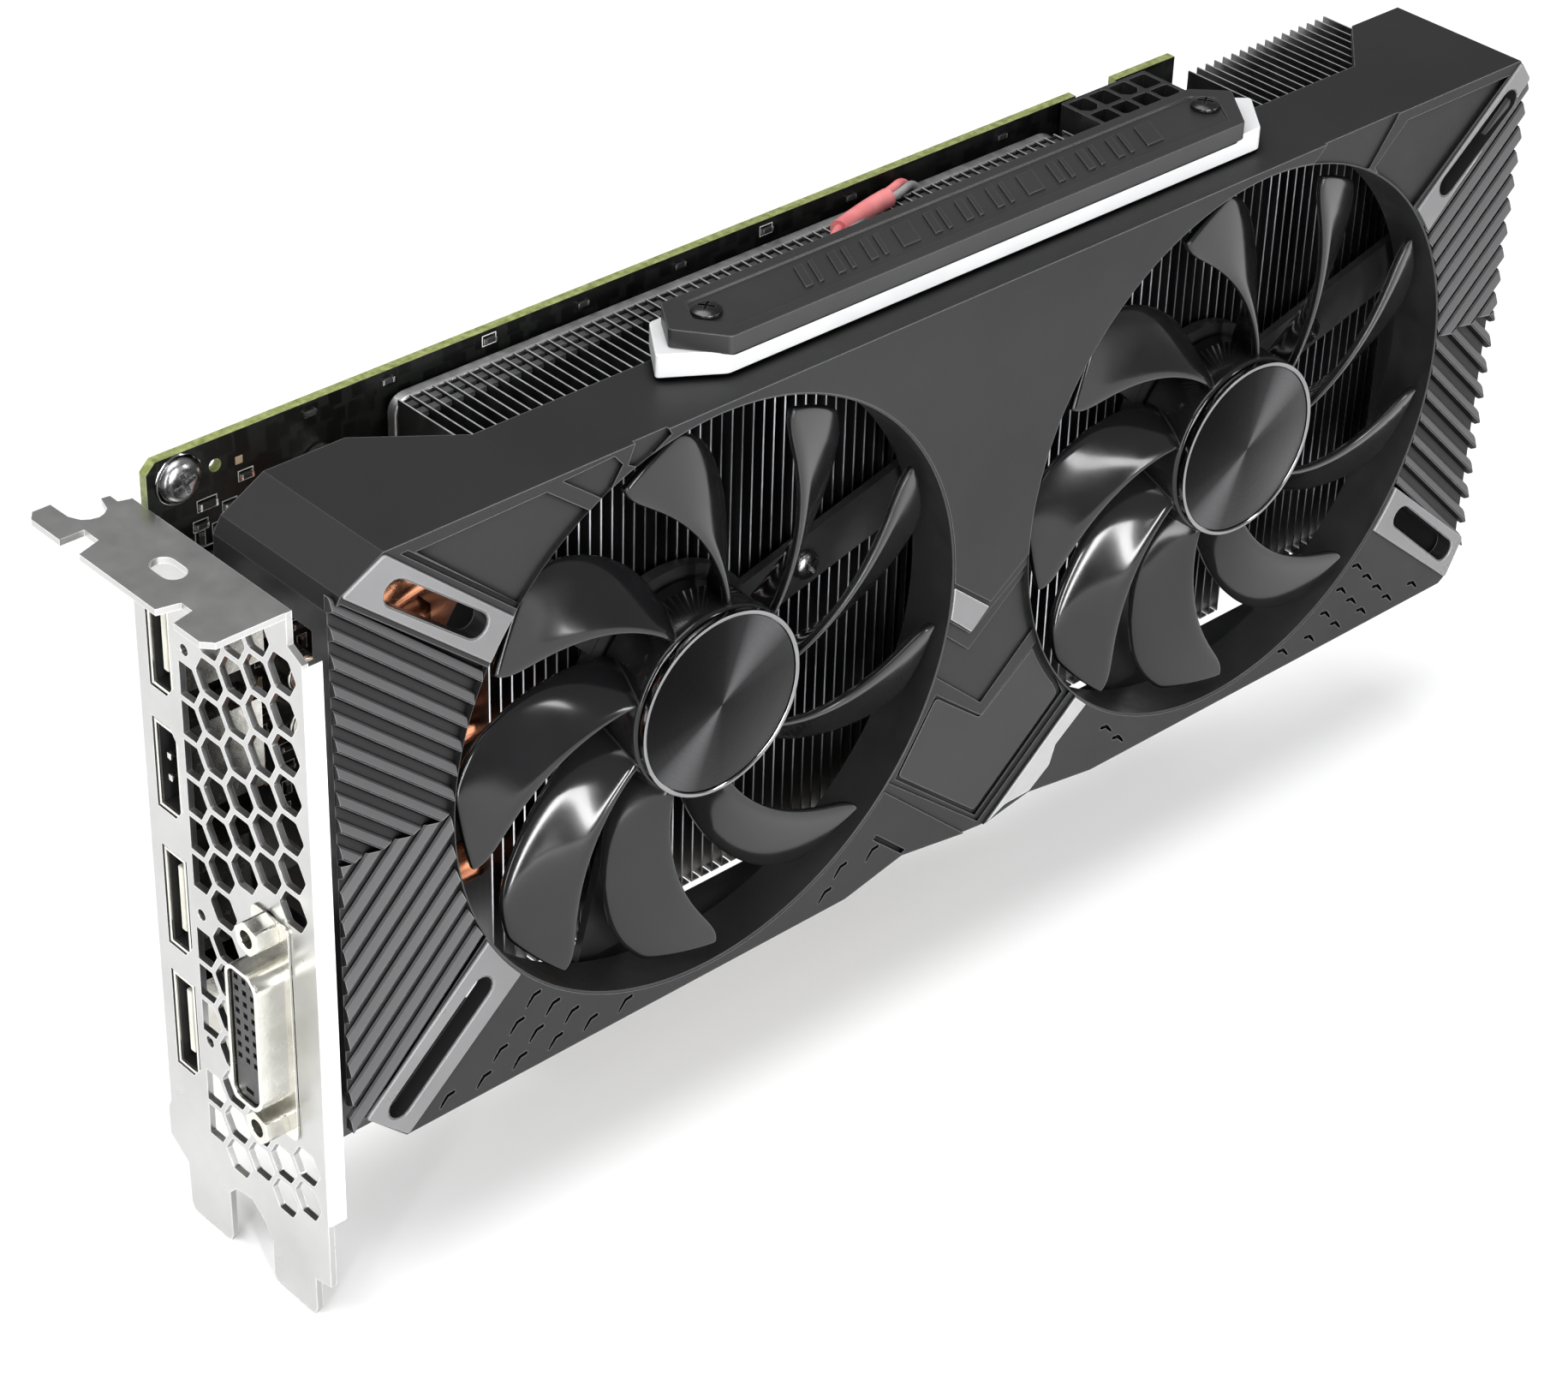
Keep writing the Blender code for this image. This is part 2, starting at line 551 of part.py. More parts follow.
def fan(side, x, groups, mats):
    group, cutters = groups
    rotor_mat, disc_mat, steel, frame_mat = mats
    centre = (x, FAN_Z)
    axis = bpy.data.objects.new(side + "_axis", None)
    axis.location = (mm(x), 0, mm(FAN_Z))
    group.objects.link(axis)
    disc = [(0, -38.9), (14.2, -38.9), (14.7, -38.5), (14.7, -37.9), (0, -37.9)]
    pin = [(0, -36.5), (SHAFT_R, -36.5), (SHAFT_R, -25.2), (0, -25.2)]
    moving = [rotor(side, centre, group, rotor_mat),
              turned(side + "_hub_disc", disc, centre, group, disc_mat, 36),
              turned(side + "_shaft", pin, centre, group, steel, 20)]
    bpy.context.view_layer.update()
    for obj in moving:
        obj.parent = axis
        obj.matrix_parent_inverse = axis.matrix_world.inverted()
    motor_frame(side, centre, group, cutters, frame_mat)
    head = [(0, -28.6), (1.7, -28.6), (2.4, -27.9), (2.4, -27.15), (0, -27.15)]
    for number, degrees in enumerate(ARM_DEG, start=1):
        spot = polar(centre, 27.0, degrees)
        turned("%s_motor_screw_%d" % (side, number), head, spot, group, steel, 14)


def light_lead(group, mat):
    """Two-way lead of the light strip, lying over the fins and down to the board."""
    points = [(110.0, -21.2, 110.0), (112.5, -13.0, 110.0), (117.0, -8.0, 109.9), (128.0, -5.2, 109.9),
              (134.0, -3.9, 109.7), (137.5, -1.7, 109.4), (140.0, -1.7, 106.0), (142.0, -1.7, 101.0)]
    return bar("light_lead", points, 0.6, group, mat)


def build():
    clear_scene()
    group = new_collection("graphics_card")
    cutters = new_collection("cutters")
    cutters.hide_render = True
    board_mat = material("board_black", (0.012, 0.013, 0.012), 0.45, 0.0)
    bracket_mat = material("bracket_nickel", (0.72, 0.72, 0.70), 0.28, 1.0)
    port_mat = material("port_nickel", (0.62, 0.62, 0.58), 0.30, 1.0)
    black = material("insulator_black", (0.02, 0.02, 0.02), 0.45, 0.0)
    shroud_mat = material("shroud_plastic", (0.045, 0.045, 0.047), 0.50, 0.0)
    rotor_mat = material("rotor_plastic", (0.05, 0.05, 0.055), 0.22, 0.0)
    disc_mat = material("disc_brushed", (0.03, 0.03, 0.032), 0.25, 1.0)
    frame_mat = material("motor_plastic", (0.015, 0.015, 0.015), 0.5, 0.0)
    fin_mat = material("fin_aluminium", (0.70, 0.71, 0.72), 0.35, 1.0)
    plate_mat = material("plate_aluminium", (0.55, 0.56, 0.57), 0.40, 1.0)
    copper = material("pipe_copper", (0.80, 0.36, 0.20), 0.30, 1.0)
    steel = material("screw_steel", (0.35, 0.35, 0.36), 0.30, 1.0)
    light_mat = material("light_guide", (0.62, 0.63, 0.64), 0.35, 0.0)
    bar_mat = material("badge_plastic", (0.025, 0.025, 0.027), 0.45, 0.0)
    power_mat = material("power_plastic", (0.02, 0.02, 0.02), 0.40, 0.0)
    package_mat = material("package_green", (0.03, 0.08, 0.05), 0.40, 0.0)
    die_mat = material("die_grey", (0.16, 0.17, 0.19), 0.20, 0.0)
    choke_mat = material("choke_ferrite", (0.10, 0.10, 0.10), 0.55, 0.0)
    lead_mat = material("lead_red", (0.55, 0.10, 0.10), 0.45, 0.0)
    circuit_board(group, cutters, board_mat)
    slot_bracket(group, cutters, bracket_mat)
    video_sockets(group, cutters, port_mat, black)
    wide_socket(group, cutters, port_mat, black)
    power_connector(group, cutters, power_mat)
    board_parts(group, package_mat, black, die_mat, choke_mat)
    board_screws(group, steel)
    heatsink(group, cutters, fin_mat, plate_mat, copper)
    shroud(group, cutters, shroud_mat)
    badge(group, light_mat, bar_mat, steel)
    for side, x in zip(("left_fan", "right_fan"), FAN_X):
        fan(side, x, (group, cutters), (rotor_mat, disc_mat, steel, frame_mat))
    light_lead(group, lead_mat)


build()
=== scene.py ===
"""Looks of the dual-fan graphics card, built round its solid model. Calls are in mm, the scene in m."""
import math

import bmesh
import bpy
from mathutils import Matrix, Vector


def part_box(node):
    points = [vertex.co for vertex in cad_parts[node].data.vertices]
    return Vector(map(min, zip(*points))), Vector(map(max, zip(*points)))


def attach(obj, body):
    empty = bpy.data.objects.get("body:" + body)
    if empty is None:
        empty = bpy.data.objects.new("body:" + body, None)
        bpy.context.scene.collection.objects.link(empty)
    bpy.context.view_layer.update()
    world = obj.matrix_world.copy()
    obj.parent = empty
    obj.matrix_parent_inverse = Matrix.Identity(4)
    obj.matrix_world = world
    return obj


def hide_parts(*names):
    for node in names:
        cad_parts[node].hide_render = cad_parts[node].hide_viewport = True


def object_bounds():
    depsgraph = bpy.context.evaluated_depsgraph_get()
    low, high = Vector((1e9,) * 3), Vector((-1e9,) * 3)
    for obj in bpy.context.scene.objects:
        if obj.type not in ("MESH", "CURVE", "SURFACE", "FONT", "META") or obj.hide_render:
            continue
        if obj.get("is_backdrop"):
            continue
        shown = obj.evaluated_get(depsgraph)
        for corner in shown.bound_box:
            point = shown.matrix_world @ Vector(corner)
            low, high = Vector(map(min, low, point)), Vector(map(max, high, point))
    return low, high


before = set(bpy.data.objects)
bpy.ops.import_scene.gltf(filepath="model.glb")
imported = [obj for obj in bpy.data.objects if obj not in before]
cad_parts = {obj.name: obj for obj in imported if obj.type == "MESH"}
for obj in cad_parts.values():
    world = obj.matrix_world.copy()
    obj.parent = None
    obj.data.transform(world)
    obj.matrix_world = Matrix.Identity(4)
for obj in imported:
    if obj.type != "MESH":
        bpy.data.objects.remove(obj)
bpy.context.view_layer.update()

SCENE = bpy.context.scene
FACING = {
    "x": Matrix(((0, 0, 1), (1, 0, 0), (0, 1, 0))).to_4x4(),
    "y": Matrix(((1, 0, 0), (0, 0, -1), (0, 1, 0))).to_4x4(),
    "z": Matrix.Identity(4),
}


def span(node):
    """Lowest and highest corner of a node of the solid model, in millimetres."""
    low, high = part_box(node)
    return [v * 1000 for v in low], [v * 1000 for v in high]


def middle(node):
    low, high = span(node)
    return [(a + b) / 2 for a, b in zip(low, high)]


LOW, HIGH = span("cooler_shroud")
FRONT = LOW[1]
LEFT_C = middle("left_fan_hub_disc")
RIGHT_C = middle("right_fan_hub_disc")
FANS = ((LEFT_C[0], LEFT_C[2]), (RIGHT_C[0], RIGHT_C[2]))
MIRROR = FANS[0][0] + FANS[1][0]
OPENING_R = 46.86
OPENING_SIDES = 128


def mm(value):
    return value * 0.001


# ---------------------------------------------------------------- finishes

# Near-black colour of the painted shade in grooves and corners.
PAINTED_SHADE_COLOUR = (0.0015, 0.0015, 0.0015)


def grey(tone, blue=None):
    return (tone, tone, tone if blue is None else blue)


def wire(tree, node, values):
    """Sets each input of the node to its value, or links it to the socket given for it."""
    for key, value in values.items():
        if isinstance(value, bpy.types.NodeSocket):
            tree.links.new(value, node.inputs[key])
        else:
            node.inputs[key].default_value = value


def add(tree, kind, values=None, **settings):
    node = tree.nodes.new("ShaderNode" + kind)
    for key, value in settings.items():
        setattr(node, key, value)
    wire(tree, node, values or {})
    return node


def calculate(tree, operation, *values):
    return add(tree, "Math", dict(enumerate(values)), operation=operation).outputs["Value"]


def ramp(tree, factor, stops):
    node = add(tree, "ValToRGB", {"Fac": factor})
    while len(node.color_ramp.elements) < len(stops):
        node.color_ramp.elements.new(0.5)
    for element, (spot, colour) in zip(node.color_ramp.elements, stops):
        element.position = spot
        element.color = (*colour, 1.0)
    return node.outputs["Color"]


def noise(tree, where, scale, detail=4.0, rough=0.55):
    values = {"Vector": where, "Scale": scale, "Detail": detail, "Roughness": rough}
    return add(tree, "TexNoise", values).outputs["Fac"]


def spread(tree, factor, low, high, start=0.3, end=0.7):
    """Maps start..end onto low..high."""
    values = {"Value": factor, "From Min": start, "From Max": end, "To Min": low, "To Max": high}
    return add(tree, "MapRange", values).outputs["Result"]


def blend_colour(tree, factor, first, second):
    values = {"Factor": factor}
    for key, value in (("A", first), ("B", second)):
        values[key] = (*value, 1.0) if isinstance(value, tuple) else value
    return add(tree, "Mix", values, data_type="RGBA").outputs["Result"]


def object_space(tree):
    return add(tree, "TexCoord").outputs["Object"]


def facing(tree, axis):
    """How far the face looks along an axis."""
    normal = add(tree, "NewGeometry").outputs["True Normal"]
    return add(tree, "SeparateXYZ", {"Vector": normal}).outputs[axis]


def cut_edge_tint_and_highlight(tree, axis, side, rim):
    """Blends to the rim's colour on the cut edges of a sheet that lies square to the axis: the laminate's own
    colour on the board, a painted highlight on the fins.
    """
    turned_away = spread(tree, calculate(tree, "ABSOLUTE", facing(tree, axis)), 1.0, 0.0, 0.3, 0.7)
    return blend_colour(tree, turned_away, side, rim)


def edge_highlight_mask(tree, radius):
    """Mask for painted edge highlights: 1 along the edges of a shape and 0 on its flats, from how far a
    rounded normal leaves the true one.
    """
    rounded_off = add(tree, "Bevel", {"Radius": mm(radius)}, samples=4).outputs["Normal"]
    true = add(tree, "NewGeometry").outputs["Normal"]
    dot = add(tree, "VectorMath", {0: rounded_off, 1: true}, operation="DOT_PRODUCT")
    return spread(tree, dot.outputs["Value"], 1.0, 0.0, 0.86, 0.985)


def painted_shade_mask(tree, reach):
    """Mask for painted shade, from ambient occlusion: 1 in the open and 0 deep in a corner or a groove."""
    shade = add(tree, "AmbientOcclusion", {"Distance": mm(reach)}, samples=8)
    return spread(tree, shade.outputs["AO"], 0.0, 1.0, 0.45, 0.9)


def new_finish(name):
    mat = bpy.data.materials.new(name)
    mat.use_nodes = True
    return mat, mat.node_tree, mat.node_tree.nodes["Principled BSDF"]


def relief(tree, height, strength, depth):
    values = {"Strength": strength, "Distance": mm(depth), "Height": height}
    return add(tree, "Bump", values).outputs["Normal"]


def look(name, dark, light, rough=(0.3, 0.5), metal=0.0, patch=45.0, grain=2200.0, bump=0.15,
         depth=0.02, edge=None, edge_highlight_radius=0.35, coat=0.0, level=0.5, stretch=None, painted_shade_reach=0.0,
         upper=None):
    """Painted, moulded or plated surface: uneven colour, uneven gloss and fine grain, with painted highlights
    on the edges, painted light on faces turned up, and painted shade in grooves and corners.
    """
    mat, tree, shader = new_finish(name)
    where = object_space(tree)
    if stretch:
        where = add(tree, "Mapping", {"Scale": stretch, "Vector": where}).outputs["Vector"]
    colour = ramp(tree, noise(tree, where, patch, 5.0), ((0.32, dark), (0.68, light)))
    # Painted light: faces turned up are painted in the lighter upper colour.
    if upper:
        painted_top_light = spread(tree, facing(tree, "Z"), 0.0, 1.0, -0.1, 0.3)
        colour = blend_colour(tree, painted_top_light, colour, upper)
    # Painted highlight: the edges are painted in the lighter edge colour.
    if edge:
        colour = blend_colour(tree, edge_highlight_mask(tree, edge_highlight_radius), colour, edge)
    wire(tree, shader, {"Specular IOR Level": level})
    if painted_shade_reach:
        # Painted shade: grooves and corners are painted near black and made less shiny, by ambient occlusion.
        open_air = painted_shade_mask(tree, painted_shade_reach)
        colour = blend_colour(tree, open_air, PAINTED_SHADE_COLOUR, colour)
        shine = spread(tree, open_air, level * 0.15, level, 0.0, 1.0)
        wire(tree, shader, {"Specular IOR Level": shine})
    gloss = noise(tree, where, patch * 3.1, 6.0, 0.65)
    wire(tree, shader, {
        "Base Color": colour, "Roughness": spread(tree, gloss, *rough), "Metallic": metal,
        "Coat Weight": coat, "Coat Roughness": 0.08,
        "Normal": relief(tree, noise(tree, where, grain, 2.0), bump, depth)})
    return mat


def brushed_disc(name):
    """Dark metal turned on a lathe: fine rings in the roughness and bump, and bright wedges by angle round
    the axis painted into the colour as painted sheen.
    """
    mat, tree, shader = new_finish(name)
    where = object_space(tree)
    split = add(tree, "SeparateXYZ", {"Vector": where})
    angle = calculate(tree, "ARCTAN2", split.outputs["Z"], split.outputs["X"])
    # Painted sheen: the colour brightens in two wedges round the axis.
    wave = calculate(tree, "SINE", calculate(tree, "MULTIPLY_ADD", angle, 2.0, -0.15))
    painted_sheen = ramp(tree, spread(tree, wave, 0.0, 1.0, -1.0, 1.0), (
        (0.0, grey(0.006)), (0.6, grey(0.009, 0.0095)), (0.86, grey(0.022, 0.023)),
        (1.0, grey(0.09, 0.093))))
    radius = add(tree, "VectorMath", {0: where}, operation="LENGTH").outputs["Value"]
    rings = add(tree, "TexNoise", noise_dimensions="1D")
    wire(tree, rings, {"W": radius, "Scale": 9000.0})
    rings = rings.outputs["Fac"]
    wire(tree, shader, {
        "Base Color": painted_sheen, "Metallic": 1.0, "Anisotropic": 0.8,
        "Tangent": add(tree, "Tangent", direction_type="RADIAL", axis="Y").outputs["Tangent"],
        "Roughness": spread(tree, rings, 0.16, 0.34), "Normal": relief(tree, rings, 0.12, 0.01)})
    return mat


def fin_look(name):
    """Thin sheet whose cut edges are painted brighter than its sides: painted highlight on the edges, painted
    shade on the sides between the fins.
    """
    mat = look(name, grey(0.10, 0.102), grey(0.17, 0.172), (0.3, 0.45), 1.0, patch=90.0,
               grain=1600.0, bump=0.12, stretch=(1.0, 1.0, 0.12))
    tree = mat.node_tree
    colour = tree.nodes["Principled BSDF"].inputs["Base Color"]
    painted_highlight = ramp(tree, noise(tree, object_space(tree), 700.0),
                  ((0.35, (0.72, 0.73, 0.74)), (0.65, (0.88, 0.89, 0.9))))
    # Painted highlight on the cut edges, painted shade on the sides that face the next fin.
    tree.links.new(cut_edge_tint_and_highlight(tree, "X", colour.links[0].from_socket, painted_highlight), colour)
    return mat


def board_look(name):
    """Black solder mask with faint tracks, and the yellow-green laminate at the cut edge."""
    mat = look(name, (0.002, 0.0022, 0.002), (0.005, 0.0055, 0.005), (0.25, 0.4), patch=70.0,
               level=0.2)
    tree = mat.node_tree
    colour = tree.nodes["Principled BSDF"].inputs["Base Color"]
    where = object_space(tree)
    tracks = add(tree, "TexVoronoi", {"Vector": where, "Scale": 420.0}, distance="CHEBYCHEV")
    line = spread(tree, tracks.outputs["Distance"], 0.0, 1.0, 0.42, 0.5)
    mask = blend_colour(tree, line, colour.links[0].from_socket, (0.008, 0.009, 0.008))
    laminate = ramp(tree, noise(tree, where, 900.0),
                    ((0.35, (0.13, 0.15, 0.05)), (0.65, (0.26, 0.29, 0.11))))
    tree.links.new(cut_edge_tint_and_highlight(tree, "Y", mask, laminate), colour)
    return mat


# In these finishes the edge colour is a painted highlight along the edges, and the shade reach paints shade
# into grooves and corners.
SHROUD = look("shroud_charcoal", grey(0.0105, 0.011), grey(0.0155, 0.016), (0.42, 0.54), patch=18.0,
              grain=2600.0, bump=0.3, depth=0.03, edge=grey(0.13, 0.135), edge_highlight_radius=0.25, level=0.22,
              painted_shade_reach=2.0)
# Ribs: up-facing flanks painted light grey as painted light, the rest a darker charcoal than the shroud as
# painted shade on the down-facing flanks.
RIBS = look("rib_charcoal_painted_light_and_shade", grey(0.003, 0.0032), grey(0.006, 0.0062), (0.40, 0.5), patch=30.0,
            grain=2600.0, level=0.1,
            bump=0.25, depth=0.03, edge=grey(0.22, 0.225), edge_highlight_radius=0.18, painted_shade_reach=2.0,
            upper=grey(0.07, 0.072))
# Corner bands and the armour facet: the shroud's plastic with a glossier finish, its gloss painted in as a
# light grey sheen.
BAND = look("band_painted_sheen", grey(0.095, 0.097), grey(0.135, 0.138), (0.26, 0.36), patch=30.0,
            grain=3000.0, bump=0.15, depth=0.02, edge=grey(0.55), edge_highlight_radius=0.3)
ARMOUR = look("armour_gloss", grey(0.010, 0.0105), grey(0.016, 0.0165), (0.28, 0.38), patch=22.0,
              grain=3000.0, bump=0.12, depth=0.02, edge=grey(0.20, 0.205), edge_highlight_radius=0.3, painted_shade_reach=2.0,
              level=0.3)
STRIPE = look("stripe_grey", grey(0.24), grey(0.32), (0.35, 0.5), patch=60.0, edge=grey(0.5))
ROTOR = look("rotor_gloss", grey(0.005, 0.0055), grey(0.009, 0.0095), (0.10, 0.18), patch=40.0,
             grain=1800.0, bump=0.04, depth=0.02, edge=grey(0.05, 0.052), edge_highlight_radius=0.5, painted_shade_reach=6.0,
             level=0.28, coat=0.25)
DISC = brushed_disc("hub_brushed_painted_sheen")
CHROME = look("rim_chrome", grey(0.20, 0.205), grey(0.30, 0.305), (0.08, 0.18), 1.0, patch=80.0, bump=0.03)
MOTOR = look("motor_black", grey(0.006), grey(0.013), (0.35, 0.55), patch=50.0, bump=0.25)
NICKEL = look("bracket_nickel", grey(0.44, 0.435), grey(0.51, 0.505), (0.26, 0.36), 1.0, patch=55.0,
              grain=2400.0, bump=0.10, depth=0.02, edge=grey(0.90, 0.89), edge_highlight_radius=0.25)
# The lip's front face: the bracket's plating in a near-white copy, as painted highlight.
LIP_HIGHLIGHT = look("bracket_lip_highlight", grey(0.93, 0.92), grey(0.97, 0.96), (0.38, 0.5), 0.85, patch=55.0, grain=2400.0,
           bump=0.08)
PORT = look("port_nickel", (0.55, 0.54, 0.49), (0.72, 0.71, 0.66), (0.16, 0.3), 1.0, patch=130.0,
            grain=1500.0, bump=0.3, depth=0.04, edge=grey(0.9, 0.88), edge_highlight_radius=0.2)
BLACK = look("socket_black", grey(0.008), grey(0.018), (0.3, 0.45), patch=200.0, bump=0.1)
CREAM = look("tongue_cream", (0.62, 0.61, 0.53), (0.78, 0.77, 0.69), (0.35, 0.5), patch=200.0, bump=0.08)
FINS = fin_look("fin_aluminium")
TABS = look("tab_aluminium", grey(0.07, 0.072), grey(0.13, 0.132), (0.4, 0.55), 0.8, patch=300.0, bump=0.1)
PLATE = look("plate_aluminium", grey(0.34, 0.345), grey(0.48, 0.485), (0.34, 0.5), 1.0, patch=120.0,
             grain=1500.0, bump=0.3, depth=0.03, edge=grey(0.7))
COPPER = look("pipe_copper", (0.55, 0.19, 0.09), (0.83, 0.36, 0.20), (0.16, 0.34), 1.0, patch=140.0,
              grain=1800.0, bump=0.12, depth=0.02, stretch=(0.3, 1.0, 1.0))
STEEL = look("screw_steel", grey(0.20, 0.205), grey(0.34, 0.345), (0.18, 0.34), 1.0, patch=300.0,
             grain=2600.0, bump=0.15, edge=grey(0.8), edge_highlight_radius=0.15)
DARK_STEEL = look("screw_black", grey(0.03, 0.031), grey(0.07, 0.071), (0.22, 0.36), 1.0, patch=300.0,
                  grain=2600.0, bump=0.15, edge=grey(0.35), edge_highlight_radius=0.15)
LIGHT = look("light_guide", (0.50, 0.505, 0.51), (0.58, 0.585, 0.59), (0.3, 0.42), patch=40.0, bump=0.08,
             edge=grey(0.92, 0.93), edge_highlight_radius=0.3)
BADGE = look("badge_black", grey(0.009, 0.0095), grey(0.016, 0.0165), (0.34, 0.46), patch=30.0,
             grain=2600.0, bump=0.3, depth=0.03, edge=grey(0.07, 0.072), edge_highlight_radius=0.3)
POWER = look("power_black", grey(0.008), grey(0.016), (0.25, 0.4), patch=120.0, bump=0.15,
             edge=grey(0.10), edge_highlight_radius=0.2)
PACKAGE = look("package_green", (0.02, 0.06, 0.03), (0.035, 0.09, 0.05), (0.3, 0.45), patch=150.0, bump=0.1)
DIE = look("die_grey", (0.12, 0.13, 0.15), (0.2, 0.21, 0.23), (0.08, 0.16), 0.3, patch=200.0, bump=0.03)
CHOKE = look("choke_ferrite", grey(0.05), grey(0.12), (0.5, 0.7), patch=300.0, bump=0.5, depth=0.05)
RED = look("lead_red", (0.55, 0.13, 0.14), (0.72, 0.24, 0.24), (0.35, 0.5), patch=200.0, bump=0.12)
GREY = look("lead_grey", grey(0.20), grey(0.32), (0.35, 0.5), patch=200.0, bump=0.12)
GOLD = look("contact_gold", (0.62, 0.42, 0.14), (0.83, 0.60, 0.25), (0.16, 0.3), 1.0, patch=200.0,
            bump=0.08)
MARK = look("ink_white", grey(0.50, 0.48), grey(0.68, 0.66), (0.5, 0.7), patch=400.0, bump=0.1)
SOLDER = look("solder_tin", grey(0.45, 0.44), grey(0.7, 0.68), (0.15, 0.35), 1.0, patch=500.0, bump=0.3)
CHIP = look("chip_black", grey(0.010, 0.011), grey(0.024, 0.025), (0.4, 0.55), patch=300.0, bump=0.3)
TAN = look("capacitor_tan", (0.30, 0.22, 0.14), (0.42, 0.32, 0.22), (0.35, 0.5), patch=400.0, bump=0.15)
BOARD = board_look("board_mask")


# ---------------------------------------------------------------- shapes

def paint(obj, mat):
    obj.data.materials.clear()
    if mat:
        obj.data.materials.append(mat)
    return obj


def new_object(name, data):
    obj = bpy.data.objects.new(name, data)
    SCENE.collection.objects.link(obj)
    return obj


def from_bmesh(name, bm, mat=None):
    """The object that the bmesh holds. It frees the bmesh."""
    mesh = bpy.data.meshes.new(name)
    bm.to_mesh(mesh)
    bm.free()
    return paint(new_object(name, mesh), mat)


def evaluated(obj):
    """A new mesh of what the object's modifiers make."""
    bpy.context.view_layer.update()
    graph = bpy.context.evaluated_depsgraph_get()
    return bpy.data.meshes.new_from_object(obj.evaluated_get(graph))


def to_mesh(obj):
    """Swaps a curve, or a mesh with modifiers, for the plain mesh that it makes, in world coordinates."""
    mesh = evaluated(obj)
    mesh.transform(obj.matrix_world)
    name = obj.name
    bpy.data.objects.remove(obj, do_unlink=True)
    bm = bmesh.new()
    bm.from_mesh(mesh)
    bmesh.ops.remove_doubles(bm, verts=bm.verts, dist=1e-6)
    if any(edge.is_boundary for edge in bm.edges):
        bmesh.ops.holes_fill(bm, edges=bm.edges, sides=0)
    bmesh.ops.recalc_face_normals(bm, faces=bm.faces)
    bm.to_mesh(mesh)
    bm.free()
    mesh.name = name
    return new_object(name, mesh)


def apply(obj):
    mesh = evaluated(obj)
    obj.modifiers.clear()
    obj.data = mesh
    mesh.name = obj.name
    return obj


def flat(name, outlines, low, high, axis, mat=None):
    """Plate with the given outlines, reaching between two values on an axis."""
    curve = bpy.data.curves.new(name, "CURVE")
    curve.dimensions = "2D"
    curve.fill_mode = "NONE"
    curve.extrude = mm(high - low) / 2
    for outline in outlines:
        spline = curve.splines.new("POLY")
        spline.points.add(len(outline) - 1)
        for point, (a, b) in zip(spline.points, outline):
            point.co = (mm(a), mm(b), 0.0, 1.0)
        spline.use_cyclic_u = True
    obj = new_object(name, curve)
    half = mm(low + high) / 2
    along = {"x": (half, 0, 0), "y": (0, half, 0), "z": (0, 0, half)}[axis]
    obj.matrix_world = Matrix.Translation(along) @ FACING[axis]
    return paint(to_mesh(obj), mat)


def boxes(name, spans, mat=None):
    bm = bmesh.new()
    for low, high in spans:
        size = [mm(b - a) for a, b in zip(low, high)]
        centre = [mm(a + b) / 2 for a, b in zip(low, high)]
        bmesh.ops.create_cube(bm, size=1.0, matrix=Matrix.Translation(centre) @ Matrix.Diagonal((*size, 1.0)))
    return from_bmesh(name, bm, mat)


def rods(name, spots, radius, low, high, axis, sides, mat=None):
    bm = bmesh.new()
    for a, b in spots:
        centre = {"x": (mm(low + high) / 2, mm(a), mm(b)), "y": (mm(a), mm(low + high) / 2, mm(b)),
                  "z": (mm(a), mm(b), mm(low + high) / 2)}[axis]
        bmesh.ops.create_cone(bm, cap_ends=True, segments=sides, radius1=mm(radius), radius2=mm(radius),
                              depth=mm(high - low), matrix=Matrix.Translation(centre) @ FACING[axis])
    return from_bmesh(name, bm, mat)


def turned(name, profile, centre, mat=None, steps=64, axis="y"):
    """Profile of (radius, height along the axis) pairs turned about a line through the centre."""
    mesh = bpy.data.meshes.new(name)
    sign = -1.0 if axis == "y" else 1.0
    mesh.from_pydata([(mm(r), 0.0, mm(sign * h)) for r, h in profile],
                     [(i, i + 1) for i in range(len(profile) - 1)], [])
    obj = new_object(name, mesh)
    spot = {"x": (0, centre[0], centre[1]), "y": (centre[0], 0, centre[1]),
            "z": (centre[0], centre[1], 0)}[axis]
    obj.matrix_world = Matrix.Translation([mm(v) for v in spot]) @ FACING[axis]
    screw = obj.modifiers.new("turn", "SCREW")
    screw.steps = screw.render_steps = steps
    screw.use_merge_vertices = True
    screw.merge_threshold = 0.00001
    return smooth(paint(to_mesh(obj), mat))


def bar(name, points, radius, mat=None, detail=5, kind="POLY"):
    curve = bpy.data.curves.new(name, "CURVE")
    curve.dimensions = "3D"
    curve.bevel_depth = mm(radius)
    curve.bevel_resolution = detail
    curve.use_fill_caps = True
    spline = curve.splines.new(kind)
    spline.points.add(len(points) - 1)
    for point, spot in zip(spline.points, points):
        point.co = (mm(spot[0]), mm(spot[1]), mm(spot[2]), 1.0)
    if kind == "NURBS":
        spline.order_u = 4
        spline.use_endpoint_u = True
        spline.resolution_u = 10
    return smooth(paint(to_mesh(new_object(name, curve)), mat))


def rectangle(a0, b0, a1, b1):
    return [(a0, b0), (a1, b0), (a1, b1), (a0, b1)]


def ring(ca, cb, r, n, turn=0.0):
    step = 2 * math.pi / n
    return [(ca + r * math.cos(turn + i * step), cb + r * math.sin(turn + i * step)) for i in range(n)]


def obround(a0, b0, a1, b1, r, n=8):
    along = math.atan2(b1 - b0, a1 - a0)
    points = []
    for ca, cb, start in ((a1, b1, along - math.pi / 2), (a0, b0, along + math.pi / 2)):
        for i in range(n + 1):
            t = start + math.pi * i / n
            points.append((ca + r * math.cos(t), cb + r * math.sin(t)))
    return points


